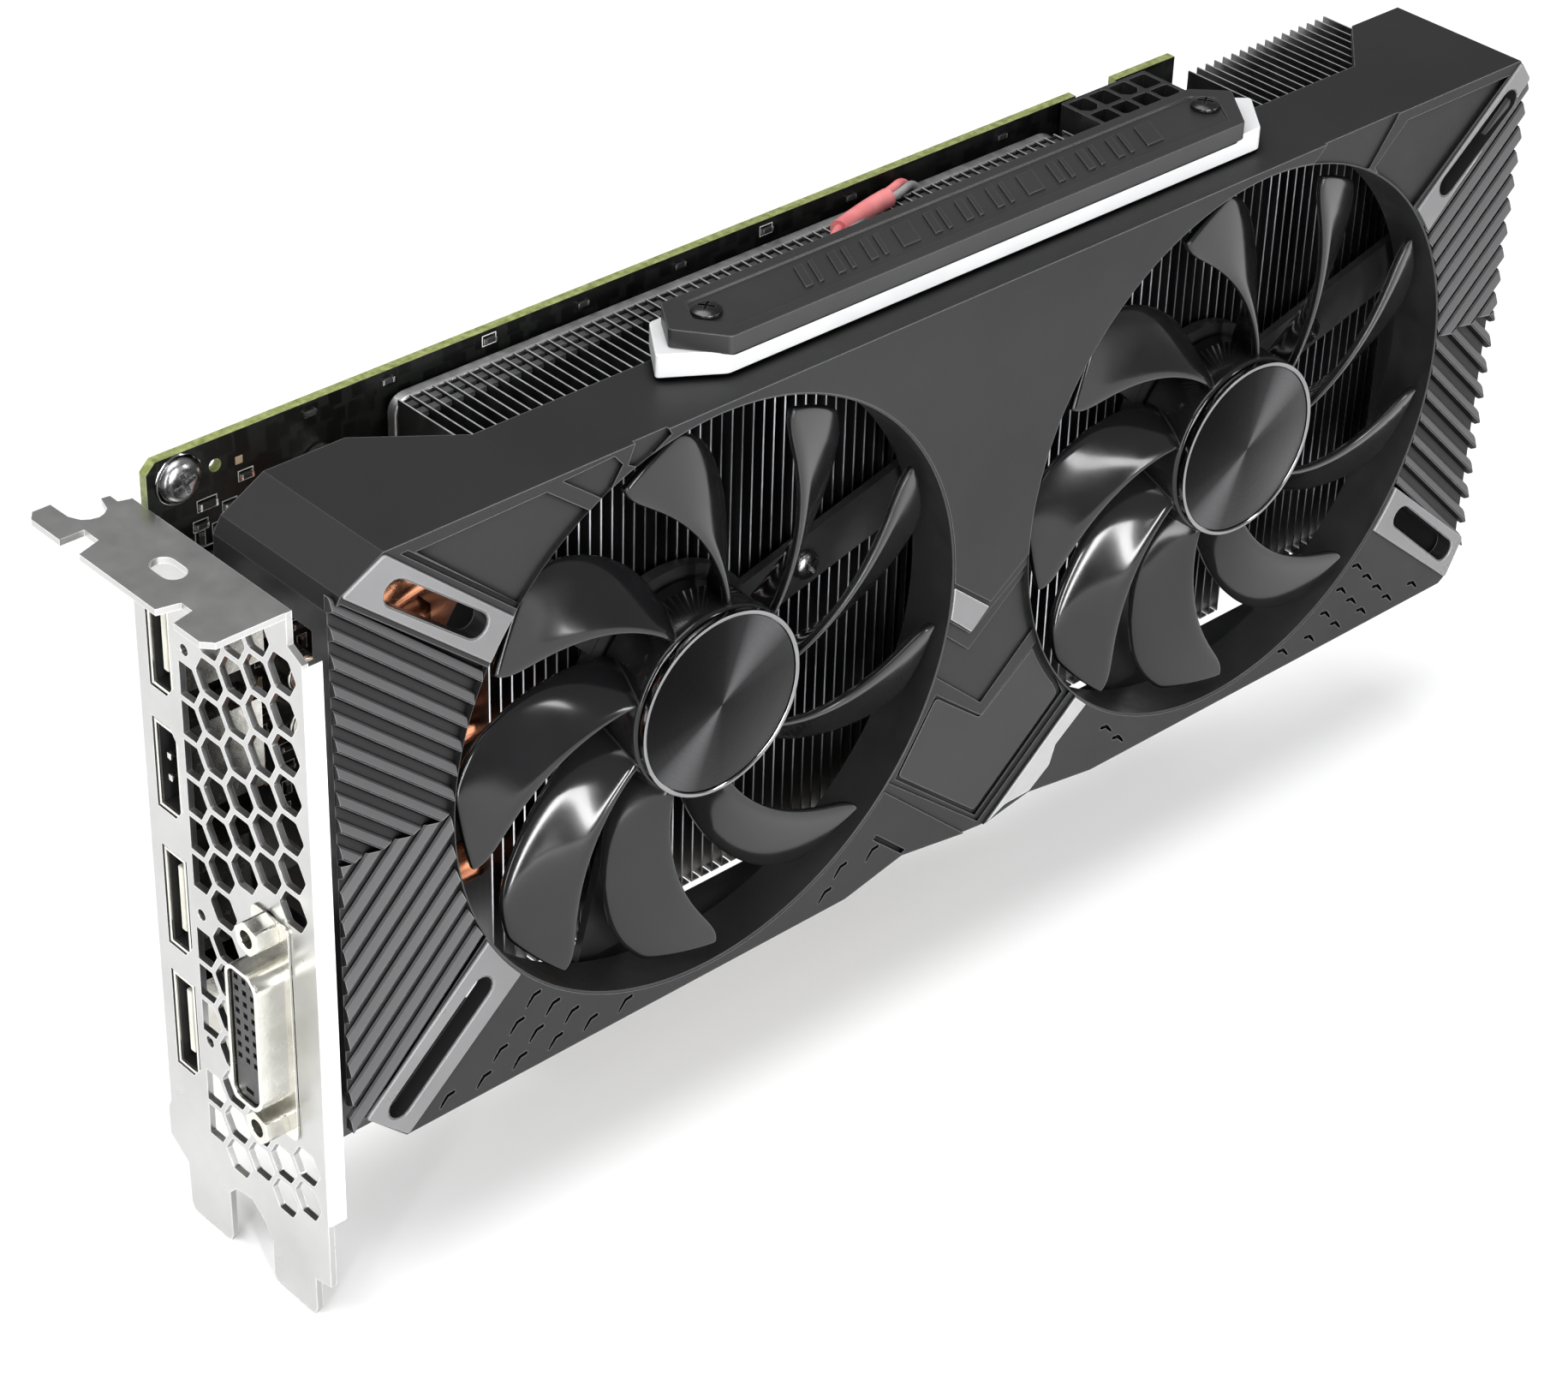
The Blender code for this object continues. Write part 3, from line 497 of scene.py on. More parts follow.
def rounded(points, r, n=4):
    """The outline with its corners rounded off."""
    out = []
    count = len(points)
    for i, (x, y) in enumerate(points):
        before, after = Vector(points[i - 1]), Vector(points[(i + 1) % count])
        here = Vector((x, y))
        back, on = before - here, after - here
        cut = min(r, back.length * 0.45, on.length * 0.45)
        start, end = here + back.normalized() * cut, here + on.normalized() * cut
        for k in range(n + 1):
            t = k / n
            spot = start * (1 - t) ** 2 + here * 2 * t * (1 - t) + end * t ** 2
            out.append((spot.x, spot.y))
    return out


def smooth(obj, angle=35.0):
    obj.data.shade_smooth()
    obj.data.set_sharp_from_angle(angle=math.radians(angle))
    return obj


def soften(obj, width, segments=2, angle=35.0):
    """Rounds the edges over by this many millimetres."""
    mod = obj.modifiers.new("soft_edges", "BEVEL")
    mod.width = mm(width)
    mod.segments = segments
    mod.limit_method = "ANGLE"
    mod.angle_limit = math.radians(angle)
    mod.use_clamp_overlap = True
    mod.miter_outer = "MITER_ARC"
    apply(obj)
    smooth(obj, 40.0)
    even = obj.modifiers.new("even", "WEIGHTED_NORMAL")
    even.keep_sharp = True
    even.weight = 90
    return apply(obj)


def boolean(obj, other, operation):
    mod = obj.modifiers.new("shape", "BOOLEAN")
    mod.operation = operation
    mod.solver = "EXACT"
    mod.object = other
    apply(obj)
    bpy.data.objects.remove(other, do_unlink=True)
    return obj


def cut(obj, cutter):
    return boolean(obj, cutter, "DIFFERENCE")


def fuse(obj, other):
    return boolean(obj, other, "UNION")


def join(name, parts, mat=None):
    """Several meshes as one object, with no Boolean."""
    bm = bmesh.new()
    for part in parts:
        bm.from_mesh(part.data)
        bpy.data.objects.remove(part, do_unlink=True)
    return from_bmesh(name, bm, mat)


def polar(centre, radius, degrees):
    t = math.radians(degrees)
    return (centre[0] + radius * math.cos(t), centre[1] + radius * math.sin(t))


def settle(obj, body, slot, *nodes):
    """The finished piece joins its body, and the solid nodes that it stands for are hidden. The slot
    argument, a finish's name, is not used.
    """
    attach(obj, body)
    if nodes:
        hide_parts(*nodes)
    return obj


def openings(depth=6.0, radius=OPENING_R):
    return rods("opening", FANS, radius, FRONT - 4, FRONT + depth, "y", OPENING_SIDES)


# ---------------------------------------------------------------- shroud

OUTLINE = [
    (4.5, 28.0), (4.5, 105.4), (5.9, 107.7), (12.9, 111.6), (238.1, 111.9), (240.3, 108.4),
    (240.3, 21.6), (237.1, 15.6), (235.9, 14.8), (150.5, 14.8), (136.3, 17.0), (126.2, 15.2),
    (122.6, 15.6), (108.9, 17.8), (97.2, 15.2), (13.6, 15.0), (6.5, 21.8), (4.5, 26.6),
]
INSET = [
    (6.2, 28.0), (6.2, 104.8), (7.3, 106.5), (13.4, 109.9), (237.0, 110.2), (238.7, 107.5),
    (238.7, 22.5), (236.2, 17.0), (235.3, 16.5), (150.6, 16.5), (136.3, 18.7), (126.2, 16.9),
    (122.8, 17.3), (108.9, 19.5), (96.9, 16.9), (14.3, 16.7), (8.0, 22.7), (6.2, 27.0),
]
BANDS = [
    [(5.9, 107.7), (12.9, 111.4), (38.0, 89.5), (31.5, 86.0)],
    [(6.6, 21.7), (13.7, 15.2), (38.5, 37.1), (32.4, 45.5)],
    [(238.2, 111.7), (240.9, 108.1), (214.0, 82.8), (211.4, 88.7)],
    [(240.6, 22.4), (237.1, 15.7), (208.6, 39.5), (212.5, 46.9)],
]
SLOTS = [((14.4, 105.0), (27.2, 94.6)), ((12.4, 21.0), (27.0, 34.2)),
         ((236.0, 105.6), (223.0, 95.2)), ((235.6, 21.8), (222.6, 33.6))]


def deepen(body, polygon, depth):
    """Lowers a region of the front face."""
    return cut(body, flat("level", [polygon], FRONT - 1, FRONT + depth, "y"))


def chevron_dimple(x, z, flip):
    s = -1 if flip else 1
    shape = [(0.0, 0.45), (2.0, 0.75), (2.45, 0.35), (2.2, -0.25), (0.5, -0.45), (-1.5, -2.5),
             (-1.95, -2.4), (-1.3, -1.2)]
    points = [(x + s * a * 0.66, z + b * 0.66) for a, b in shape]
    return points[::-1] if flip else points


def dimples():
    found = []
    for flip in (False, True):
        for i in range(-16, 18):
            for j in range(-16, 18):
                x = 36.4 + 3.5 * i - 3.05 * j
                z = 28.0 - 3.25 * i - 3.3 * j
                if z < 16.0 or z > 35.5 or x > 107.0:
                    continue
                if math.hypot(x - FANS[0][0], z - FANS[0][1]) < OPENING_R + 1.2:
                    continue
                if (x - 13.7) * 18.6 - (z - 15.0) * 20.9 < 60.0:
                    continue
                if (108.4 - x) * 14.5 - (z - 17.7) * 4.5 < 25.0 or x > 98 and z < 19.5:
                    continue
                found.append(chevron_dimple(MIRROR - x if flip else x, z, flip))
    # none where the grey stripe and its groove lie
    return [points for points in found if not 118.0 < points[0][0] < 152.5]


def trim(bm, spot, normal):
    """Cuts off the side that the normal points to, and closes the cut. Point and normal are (x, z)."""
    geometry = bm.verts[:] + bm.edges[:] + bm.faces[:]
    done = bmesh.ops.bisect_plane(bm, geom=geometry, dist=1e-7, plane_co=(mm(spot[0]), 0, mm(spot[1])),
                                  plane_no=(normal[0], 0, normal[1]), clear_outer=True)
    edges = [e for e in done["geom_cut"] if isinstance(e, bmesh.types.BMEdge)]
    if edges:
        bmesh.ops.holes_fill(bm, edges=edges, sides=0)


def rib(bm_all, a, b, width, height, limits):
    """One long rib with a ridge along it, from a to b on the front face, trimmed by the limits."""
    a, b = Vector(a), Vector(b)
    along = (b - a).normalized()
    down = Vector((along.y, -along.x))
    if down.y > 0:
        down.negate()
    profile = [(0.0, -0.6), (0.0, 0.15), (0.08, 0.5), (0.38, 1.0), (0.45, 0.97), (0.58, 0.05), (0.58, -0.6)]
    bm = bmesh.new()
    rows = []
    for end in (a, b):
        row = []
        for u, h in profile:
            spot = end + down * (u * width)
            row.append(bm.verts.new((mm(spot.x), mm(FRONT + 1.0 - h * height), mm(spot.y))))
        rows.append(row)
    count = len(profile)
    for i in range(count):
        j = (i + 1) % count
        bm.faces.new((rows[0][i], rows[0][j], rows[1][j], rows[1][i]))
    bm.faces.new(rows[0][::-1])
    bm.faces.new(rows[1])
    for spot, normal in limits:
        if bm.faces:
            trim(bm, spot, normal)
    if not bm.faces:
        bm.free()
        return
    bmesh.ops.recalc_face_normals(bm, faces=bm.faces)
    piece = from_bmesh("rib", bm, RIBS)
    cut(piece, openings(6.0, OPENING_R + 0.15))
    bm_all.from_mesh(piece.data)
    bpy.data.objects.remove(piece, do_unlink=True)


def rib_field(side):
    """Both sets of slanted ribs at one end, meeting in chevrons, trimmed to the opening and the bands."""
    left = side == "left"
    s = 1 if left else -1
    height, reach = 1.05, s * 60.0
    edge = 4.55 if left else 241.15
    start = edge + s * 1.25
    fold, step, slope = 65.8, 4.886, 0.88
    bm = bmesh.new()
    for k in range(11):
        cross = start + s * (46.6 - step * k)
        upper = [((edge, fold), (-s, 0)), ((edge, fold), (0, -1)),
                 ((edge + s * 1.0, 107.1), (21.7 * s, 25.8))]
        rib(bm, (cross - reach, fold + 60.0 * slope), (cross + reach * 0.2, fold - 12.0 * slope),
            step * math.sin(math.atan(slope)), height, upper)
        inner = cross - s * 0.9 * step
        lower = [((edge, fold), (-s, 0)), ((edge, fold), (0, 1)),
                 ((edge + s * 2.2, 22.3), (24.4 * s, -25.9))]
        rib(bm, (inner - reach, fold - 60.0), (inner + reach * 0.2, fold + 12.0),
            step * math.sin(math.radians(45.0)), height, lower)
    return smooth(from_bmesh(side + "_rib_field", bm, RIBS), 20.0)


def shroud_body():
    body = flat("cooler_shroud_body", [OUTLINE], FRONT, -12.0, "y", SHROUD)
    pocket = flat("pocket", [INSET], FRONT + 1.7, -8.0, "y")
    cut(pocket, rods("duct", FANS, 47.9, FRONT - 1, -28.5, "y", OPENING_SIDES))
    cut(body, pocket)
    cut(body, rods("opening", FANS, OPENING_R, FRONT - 3, -6.0, "y", OPENING_SIDES))
    cut(body, flat("slot", [obround(*a, *b, 2.0) for a, b in SLOTS], FRONT - 3, FRONT + 4, "y"))
    back = [(26.0, -9.0), (26.0, -11.9), (39.5, -22.0), (216.0, -22.0), (227.0, -11.9), (227.0, -9.0)]
    cut(body, flat("back", [back], 5.0, 125.0, "z"))
    cut(body, boxes("relief", [((-2.0, -34.4, 8.0), (16.0, -8.0, 57.0))]))
    cut(body, boxes("relief", [((-2.0, -33.0, 56.0), (16.0, -8.0, 101.0))]))
    # beds of the ribs, and the sunk corner panels with their steps
    for s, edge in ((1, 4.5), (-1, 240.9)):
        deepen(body, [(edge - s * 2.0, 22.0), (edge - s * 2.0, 106.6), (edge + s * 1.4, 106.6),
                      (edge + s * 34.0, 79.2), (edge + s * 34.0, 52.6), (edge + s * 2.6, 22.0)], 1.05)
    deepen(body, [(17.9, 109.6), (39.5, 110.0), (46.9, 104.2), (44.0, 98.0), (36.0, 93.6)], 0.75)
    deepen(body, [(15.6, 110.2), (35.2, 93.3), (35.9, 93.7), (16.7, 110.3)], 0.45)
    deepen(body, [(42.2, 110.6), (49.5, 104.9), (52.5, 109.2), (51.0, 111.0)], 0.5)
    deepen(body, [(53.4, 108.8), (55.4, 107.6), (61.0, 110.7), (60.0, 112.5), (55.0, 112.5)], 0.6)
    deepen(body, [(204.4, 104.0), (211.1, 110.0), (235.6, 110.1), (215.4, 93.6), (209.0, 97.5)], 0.75)
    deepen(body, [(189.6, 109.4), (193.4, 113.0), (209.8, 113.0), (203.0, 104.3), (196.0, 104.0)], 0.4)
    # the stepped arrowhead between the fans
    deepen(body, [(108.9, 70.3), (116.9, 63.9), (124.9, 57.4), (130.6, 61.5), (139.0, 67.6), (147.0, 52.0),
                  (146.0, 31.6), (126.3, 15.0), (126.0, 12.0), (122.5, 12.0), (122.6, 15.4), (104.0, 32.2),
                  (98.0, 45.0)], 0.35)
    deepen(body, [(105.0, 67.4), (113.0, 60.3), (121.2, 53.1), (129.9, 59.0), (139.0, 65.2), (145.6, 50.0),
                  (144.6, 32.4), (125.6, 16.2), (104.8, 33.4), (98.0, 47.0)], 0.75)
    deepen(body, [(105.0, 64.6), (113.8, 56.8), (121.5, 49.9), (129.8, 56.7), (139.0, 64.2), (137.5, 49.6),
                  (124.9, 38.7), (114.4, 48.1), (104.0, 55.0)], 1.15)
    deepen(body, [(115.1, 44.4), (125.2, 36.2), (136.6, 45.2), (143.2, 32.7), (125.3, 17.3),
                  (107.3, 32.5)], 1.2)
    deepen(body, [(102.5, 23.8), (108.8, 18.2), (109.6, 18.6), (103.2, 24.4)], 0.6)
    cut(body, flat("dimple", dimples(), FRONT - 1, FRONT + 0.6, "y"))
    return paint(soften(body, 0.2, 2, 22.0), SHROUD)


def front_pieces():
    """Bands over the corners, the light stripe, and the shallow armour plates, each with softened edges."""
    for number, (polygon, (a, b)) in enumerate(zip(BANDS, SLOTS), start=1):
        piece = flat("corner_band_%d" % number, [rounded(polygon, 0.5, 2)], FRONT - 0.4, FRONT + 0.35, "y",
                     BAND)
        cut(piece, openings(6.0, OPENING_R + 0.2))
        cut(piece, flat("slot", [obround(*a, *b, 2.1)], FRONT - 3, FRONT + 3, "y"))
        settle(soften(piece, 0.28, 3), "card", "shroud_plastic")
        a, b = Vector(a), Vector(b)
        well = flat("slot_well_%d" % number, [obround(*a, *b, 2.5)], FRONT - 0.25, FRONT + 2.6, "y", ARMOUR)
        cut(well, flat("slot", [obround(*a, *b, 1.95)], FRONT - 3, FRONT + 4, "y"))
        settle(smooth(well), "card", "shroud_plastic")
    stripe = flat("grey_stripe", [rounded([(145.9, 31.2), (148.6, 29.0), (141.7, 23.8), (140.6, 20.4),
                                           (136.4, 17.3),
                                            (131.1, 17.2), (127.3, 15.5)], 0.3, 2)], FRONT - 0.12,
                                            FRONT + 0.8, "y", STRIPE)
    cut(stripe, openings(6.0, OPENING_R + 0.2))
    settle(soften(stripe, 0.15, 2), "card", "shroud_plastic")
    light_facet = flat("armour_facet", [[(117.3, 62.8), (124.7, 56.6), (121.2, 53.5), (113.9, 60.0)]],
                       FRONT + 0.05, FRONT + 0.9, "y", BAND)
    cut(light_facet, openings(6.0, OPENING_R + 0.2))
    settle(soften(light_facet, 0.2, 2), "card", "shroud_plastic")
    # A black lining on the inner wall of each fan opening, as painted shade where the wall lies in shadow.
    for side, (x, z) in zip(("left", "right"), FANS):
        inner, outer, back = 46.55, 46.84, -28.7
        wall = [(inner, FRONT + 0.3), (outer, FRONT + 0.15), (outer, back), (inner, back),
                (inner, FRONT + 0.3)]
        shade_liner = turned(side + "_opening_shade_liner", wall, (x, z), MOTOR, OPENING_SIDES)
        settle(shade_liner, "card", "shroud_plastic")
    plate = flat("armour_plate", [rounded([(115.4, 43.6), (125.2, 35.7), (136.2, 44.2), (142.4, 32.7),
                                           (125.3, 18.1), (108.2, 32.4)], 0.8, 3)],
                 FRONT + 0.95, FRONT + 1.5, "y", ARMOUR)
    cut(plate, openings(6.0, OPENING_R + 0.9))
    settle(soften(plate, 0.2, 2), "card", "shroud_plastic")


# ---------------------------------------------------------------- fans

def blade(centre, first):
    """One swept blade, cupped and rolled over at its front edge, then smoothed."""
    root, reach = 15.0, 29.5
    back_y, front_y, drop = -28.6, -36.9, 4.0
    sweep, tip_start, tip_length = 35.0, 39.5, 5.0
    radii = [13.6, 16.0, 19.0, 22.5, 26.0, 29.5, 33.0, 36.5, 39.5, 41.8, 43.4, 44.4]
    chord = [0.0, 0.14, 0.3, 0.46, 0.62, 0.76, 0.88, 0.95, 1.0]
    bm = bmesh.new()
    rows = []
    for r in radii:
        t = max((r - root) / reach, 0.0)
        front = first + sweep * t
        width = 14.5 + 8.0 * math.sin(min(t, 1.0) * math.pi / 2)
        tip = max((r - tip_start) / tip_length, 0.0)
        narrow = 1.0 - 0.34 * tip ** 2
        row = []
        for s in chord:
            u = 0.5 + (s - 0.5) * narrow
            y_back = back_y - drop * t
            lift = u ** 0.72
            y = y_back + (front_y - y_back) * lift
            roll = max(u - 0.88, 0.0) / 0.12
            y += 0.5 * roll ** 2
            x, z = polar(centre, r, front - width * (1 - u))
            row.append(bm.verts.new((mm(x), mm(y), mm(z))))
        rows.append(row)
    for one, two in zip(rows, rows[1:]):
        for k in range(len(chord) - 1):
            bm.faces.new((one[k], one[k + 1], two[k + 1], two[k]))
    obj = from_bmesh("blade", bm)
    shell = obj.modifiers.new("thickness", "SOLIDIFY")
    shell.thickness = mm(1.35)
    shell.offset = 0.0
    round_off = obj.modifiers.new("round", "SUBSURF")
    round_off.levels = round_off.render_levels = 2
    return to_mesh(obj)


def own_origin(obj, centre):
    """Puts the object's origin on the fan's axis, so that turned finishes follow it."""
    shift = Matrix.Translation((mm(centre[0]), mm(FRONT), mm(centre[1])))
    obj.data.transform(shift.inverted())
    obj.matrix_world = shift
    return obj


def fan(side, centre):
    hub = turned(side + "_hub", [
        (0, -37.6), (13.9, -37.6), (14.4, -37.5), (14.8, -37.2), (15.0, -36.7), (15.0, -28.1),
        (14.7, -27.7),
        (13.6, -27.6), (13.4, -36.0), (2.6, -36.0), (2.6, -31.0), (1.52, -31.0), (1.52, -36.6),
        (0, -36.6)], centre, ROTOR, 96)
    blades = [blade(centre, 1.0 + 40.0 * k) for k in range(9)]
    rotor = join(side + "_rotor_smooth", [hub] + blades, ROTOR)
    smooth(rotor, 50.0)
    settle(own_origin(rotor, centre), side, "rotor_plastic", side + "_rotor")
    disc = turned(side + "_disc_face", [(0, -38.75), (13.6, -38.75), (13.9, -38.6), (13.95, -38.0),
                                        (0, -38.0)], centre, DISC, 96)
    settle(own_origin(disc, centre), side, "disc_brushed", side + "_hub_disc")
    rim = turned(side + "_disc_rim", [(14.0, -38.0), (14.0, -38.72), (14.15, -38.85), (14.4, -38.88),
                                      (14.62, -38.8),
                                      (14.7, -38.5), (14.7, -37.95), (14.0, -37.95)], centre, CHROME, 96)
    settle(own_origin(rim, centre), side, "disc_brushed")


# ---------------------------------------------------------------- screws

def cross_screw(name, centre, base, top, radius, axis, mat, body, slot, nodes, turn=20.0):
    """Pan-head screw with a cross recess. base and top are heights on the axis; top may be the lower."""
    h = top - base
    profile = [(0, top), (radius * 0.35, top - 0.02 * h), (radius * 0.62, top - 0.10 * h),
               (radius * 0.84, top - 0.3 * h),
               (radius * 0.97, top - 0.6 * h), (radius, base + 0.15 * h), (radius, base), (0, base)]
    head = turned(name, profile, centre, mat, 40, axis)
    depth = abs(h) * 0.55
    low, high = (top - 1, top + depth) if h < 0 else (top - depth, top + 1)
    for extra in (0.0, 90.0):
        t = math.radians(turn + extra)
        d = Vector((math.cos(t), math.sin(t))) * radius * 0.56
        n = Vector((-math.sin(t), math.cos(t))) * radius * 0.11
        c = Vector(centre)
        cut(head, flat("cross", [[tuple(c + d + n), tuple(c - d + n), tuple(c - d - n), tuple(c + d - n)]],
                       low, high, axis))
    settle(smooth(paint(head, mat), 30.0), body, slot, *nodes)


def screws():
    c = middle("bracket_screw")
    cross_screw("bracket_screw_head", (c[0], c[2]), -1.1, -2.6, 3.2, "y", STEEL, "card", "screw_steel",
                ["bracket_screw"])
    washer = turned("bracket_washer", [(1.7, -0.82), (3.75, -0.82), (3.75, -1.0), (3.55, -1.12),
                                       (1.7, -1.12), (1.7, -0.82)], (c[0], c[2]), CHROME, 64)
    settle(washer, "card", "screw_steel")
    for n in (1, 2):
        c = middle("badge_screw_%d" % n)
        cross_screw("badge_screw_head_%d" % n, (c[0], c[1]), 118.75, 119.65, 2.25, "z", DARK_STEEL, "card",
                    "screw_steel", ["badge_screw_%d" % n], 35.0)
    for side in ("left_fan", "right_fan"):
        for n in (1, 2, 3):
            node = "%s_motor_screw_%d" % (side, n)
            c = middle(node)
            cross_screw(node + "_head", (c[0], c[2]), -27.0, -28.5, 2.35, "y", STEEL, "card",
                        "screw_steel", [node], 10.0 + 25 * n)
    for n in range(1, 5):
        c = middle("cooler_screw_%d" % n)
        cross_screw("cooler_screw_head_%d" % n, (c[0], c[2]), 1.0, 3.25, 3.15, "y", STEEL, "card",
                    "screw_steel", ["cooler_screw_%d" % n], 12.0 * n)


# ---------------------------------------------------------------- bracket and sockets

def bracket():
    """The folded sheet again, with rounded edges and plated finish."""
    plate = flat("bracket_sheet", [[
        (1.0, 106.0), (1.0, 4.1), (1.7, 2.4), (1.7, -2.7), (-2.5, -5.6), (-2.74, -12.8),
        (-3.4, -14.0), (-12.3, -14.0), (-12.94, -12.8), (-12.94, -4.4), (-14.6, -2.6),
        (-18.4, -2.0), (-21.6, -4.4), (-23.06, -6.8), (-23.06, -12.8), (-23.7, -14.0),
        (-32.6, -14.0), (-33.26, -12.8), (-33.26, -6.9), (-36.9, -6.0), (-36.9, 99.5), (-33.9, 101.0),
        (-33.9, 106.0),
    ]], 0.0, 1.0, "x", NICKEL)
    tab = flat("tab", [[
        (0.6, -33.8), (0.6, 1.0), (-0.9, 1.5), (-0.9, 3.3), (-2.2, 3.5), (-3.0, 0.9),
        (-4.0, 0.1), (-5.0, -0.2), (-6.2, 0.1), (-7.2, 0.8), (-8.0, 2.5), (-8.1, 6.4), (-10.9, 6.4),
        (-12.0, 5.0),
        (-12.0, -1.5), (-8.2, -1.5), (-8.2, -4.8), (-12.0, -6.0), (-12.0, -22.8), (-8.6, -23.6),
        (-8.6, -26.0), (-12.0, -26.8), (-12.0, -32.3), (-10.6, -33.8),
    ]], 105.0, 106.0, "z")
    fuse(plate, tab)
    fuse(plate, boxes("lip", [((0.4, -36.9, 5.0), (3.2, -35.9, 99.0))]))
    windows = [(-7.2, 78.4, -1.6, 95.6), (-7.4, 58.2, -1.4, 73.2), (-7.4, 34.6, -1.6, 51.8),
               (-7.4, 12.8, -1.6, 30.0), (-31.4, 22.6, -22.4, 48.9)]
    chamfered = []
    for i, (y0, z0, y1, z1) in enumerate(windows):
        c = 2.2 if i != 4 else 0.8
        chamfered.append([(y0 + c * 0.8, z0), (y1, z0), (y1, z1),
                          (y0 + (0 if i in (0, 2, 3) else c * 0.8), z1),
                          (y0, z1 - (0 if i in (0, 2, 3) else c)), (y0, z0 + c)])
    cut(plate, flat("window", chamfered, -2, 3, "x"))
    cut(plate, rods("jack", ((-27.0, 52.2), (-27.0, 19.2)), 2.6, -2, 3, "x", 24))
    hexes = [[(-8.9, z - 2.73), (-11.9, z - 2.73), (-13.45, z), (-11.9, z + 2.73), (-8.9, z + 2.73)]
             for z in (89.6 - 6.35 * k for k in range(1, 14) if k not in (7, 11))]
    for col in range(4):
        y = -15.85 - 5.5 * col
        for k in range(-2, 14):
            z = (89.6 if col % 2 else 86.5) - 6.35 * k
            if z < 101.0 and not (y < -31.0 and z > 97.0) and not (16.0 < z < 57.0 and y < -17.5):
                hexes.append(rounded(ring(y, z, 3.15, 6), 0.35, 2))
    cut(plate, flat("vent", hexes, -2, 3, "x"))
    cut(plate, flat("hole", [ring(-10.3, z, 0.9, 16) for z in (88.3, 44.4, 21.9)], -2, 3, "x"))
    cut(plate, flat("tab_slot", [obround(-5.2, -14.8, -5.2, -17.2, 1.8)], 102, 109, "z"))
    settle(soften(plate, 0.16, 2, 30.0), "card", "bracket_nickel", "slot_bracket")
    # A near-white sheet over the lip's front face, as painted highlight on the same plating.
    face = flat("bracket_lip_face", [rounded([(0.1, 5.1), (3.15, 5.1), (3.15, 98.9), (0.1, 98.9)], 0.4,
                                             3)], -36.97, -36.8, "x", LIP_HIGHLIGHT)
    face.data.transform(Matrix(((0, 1, 0, 0), (1, 0, 0, 0), (0, 0, 1, 0), (0, 0, 0, 1))))
    face.data.flip_normals()
    settle(soften(face, 0.05, 1), "card", "bracket_nickel")


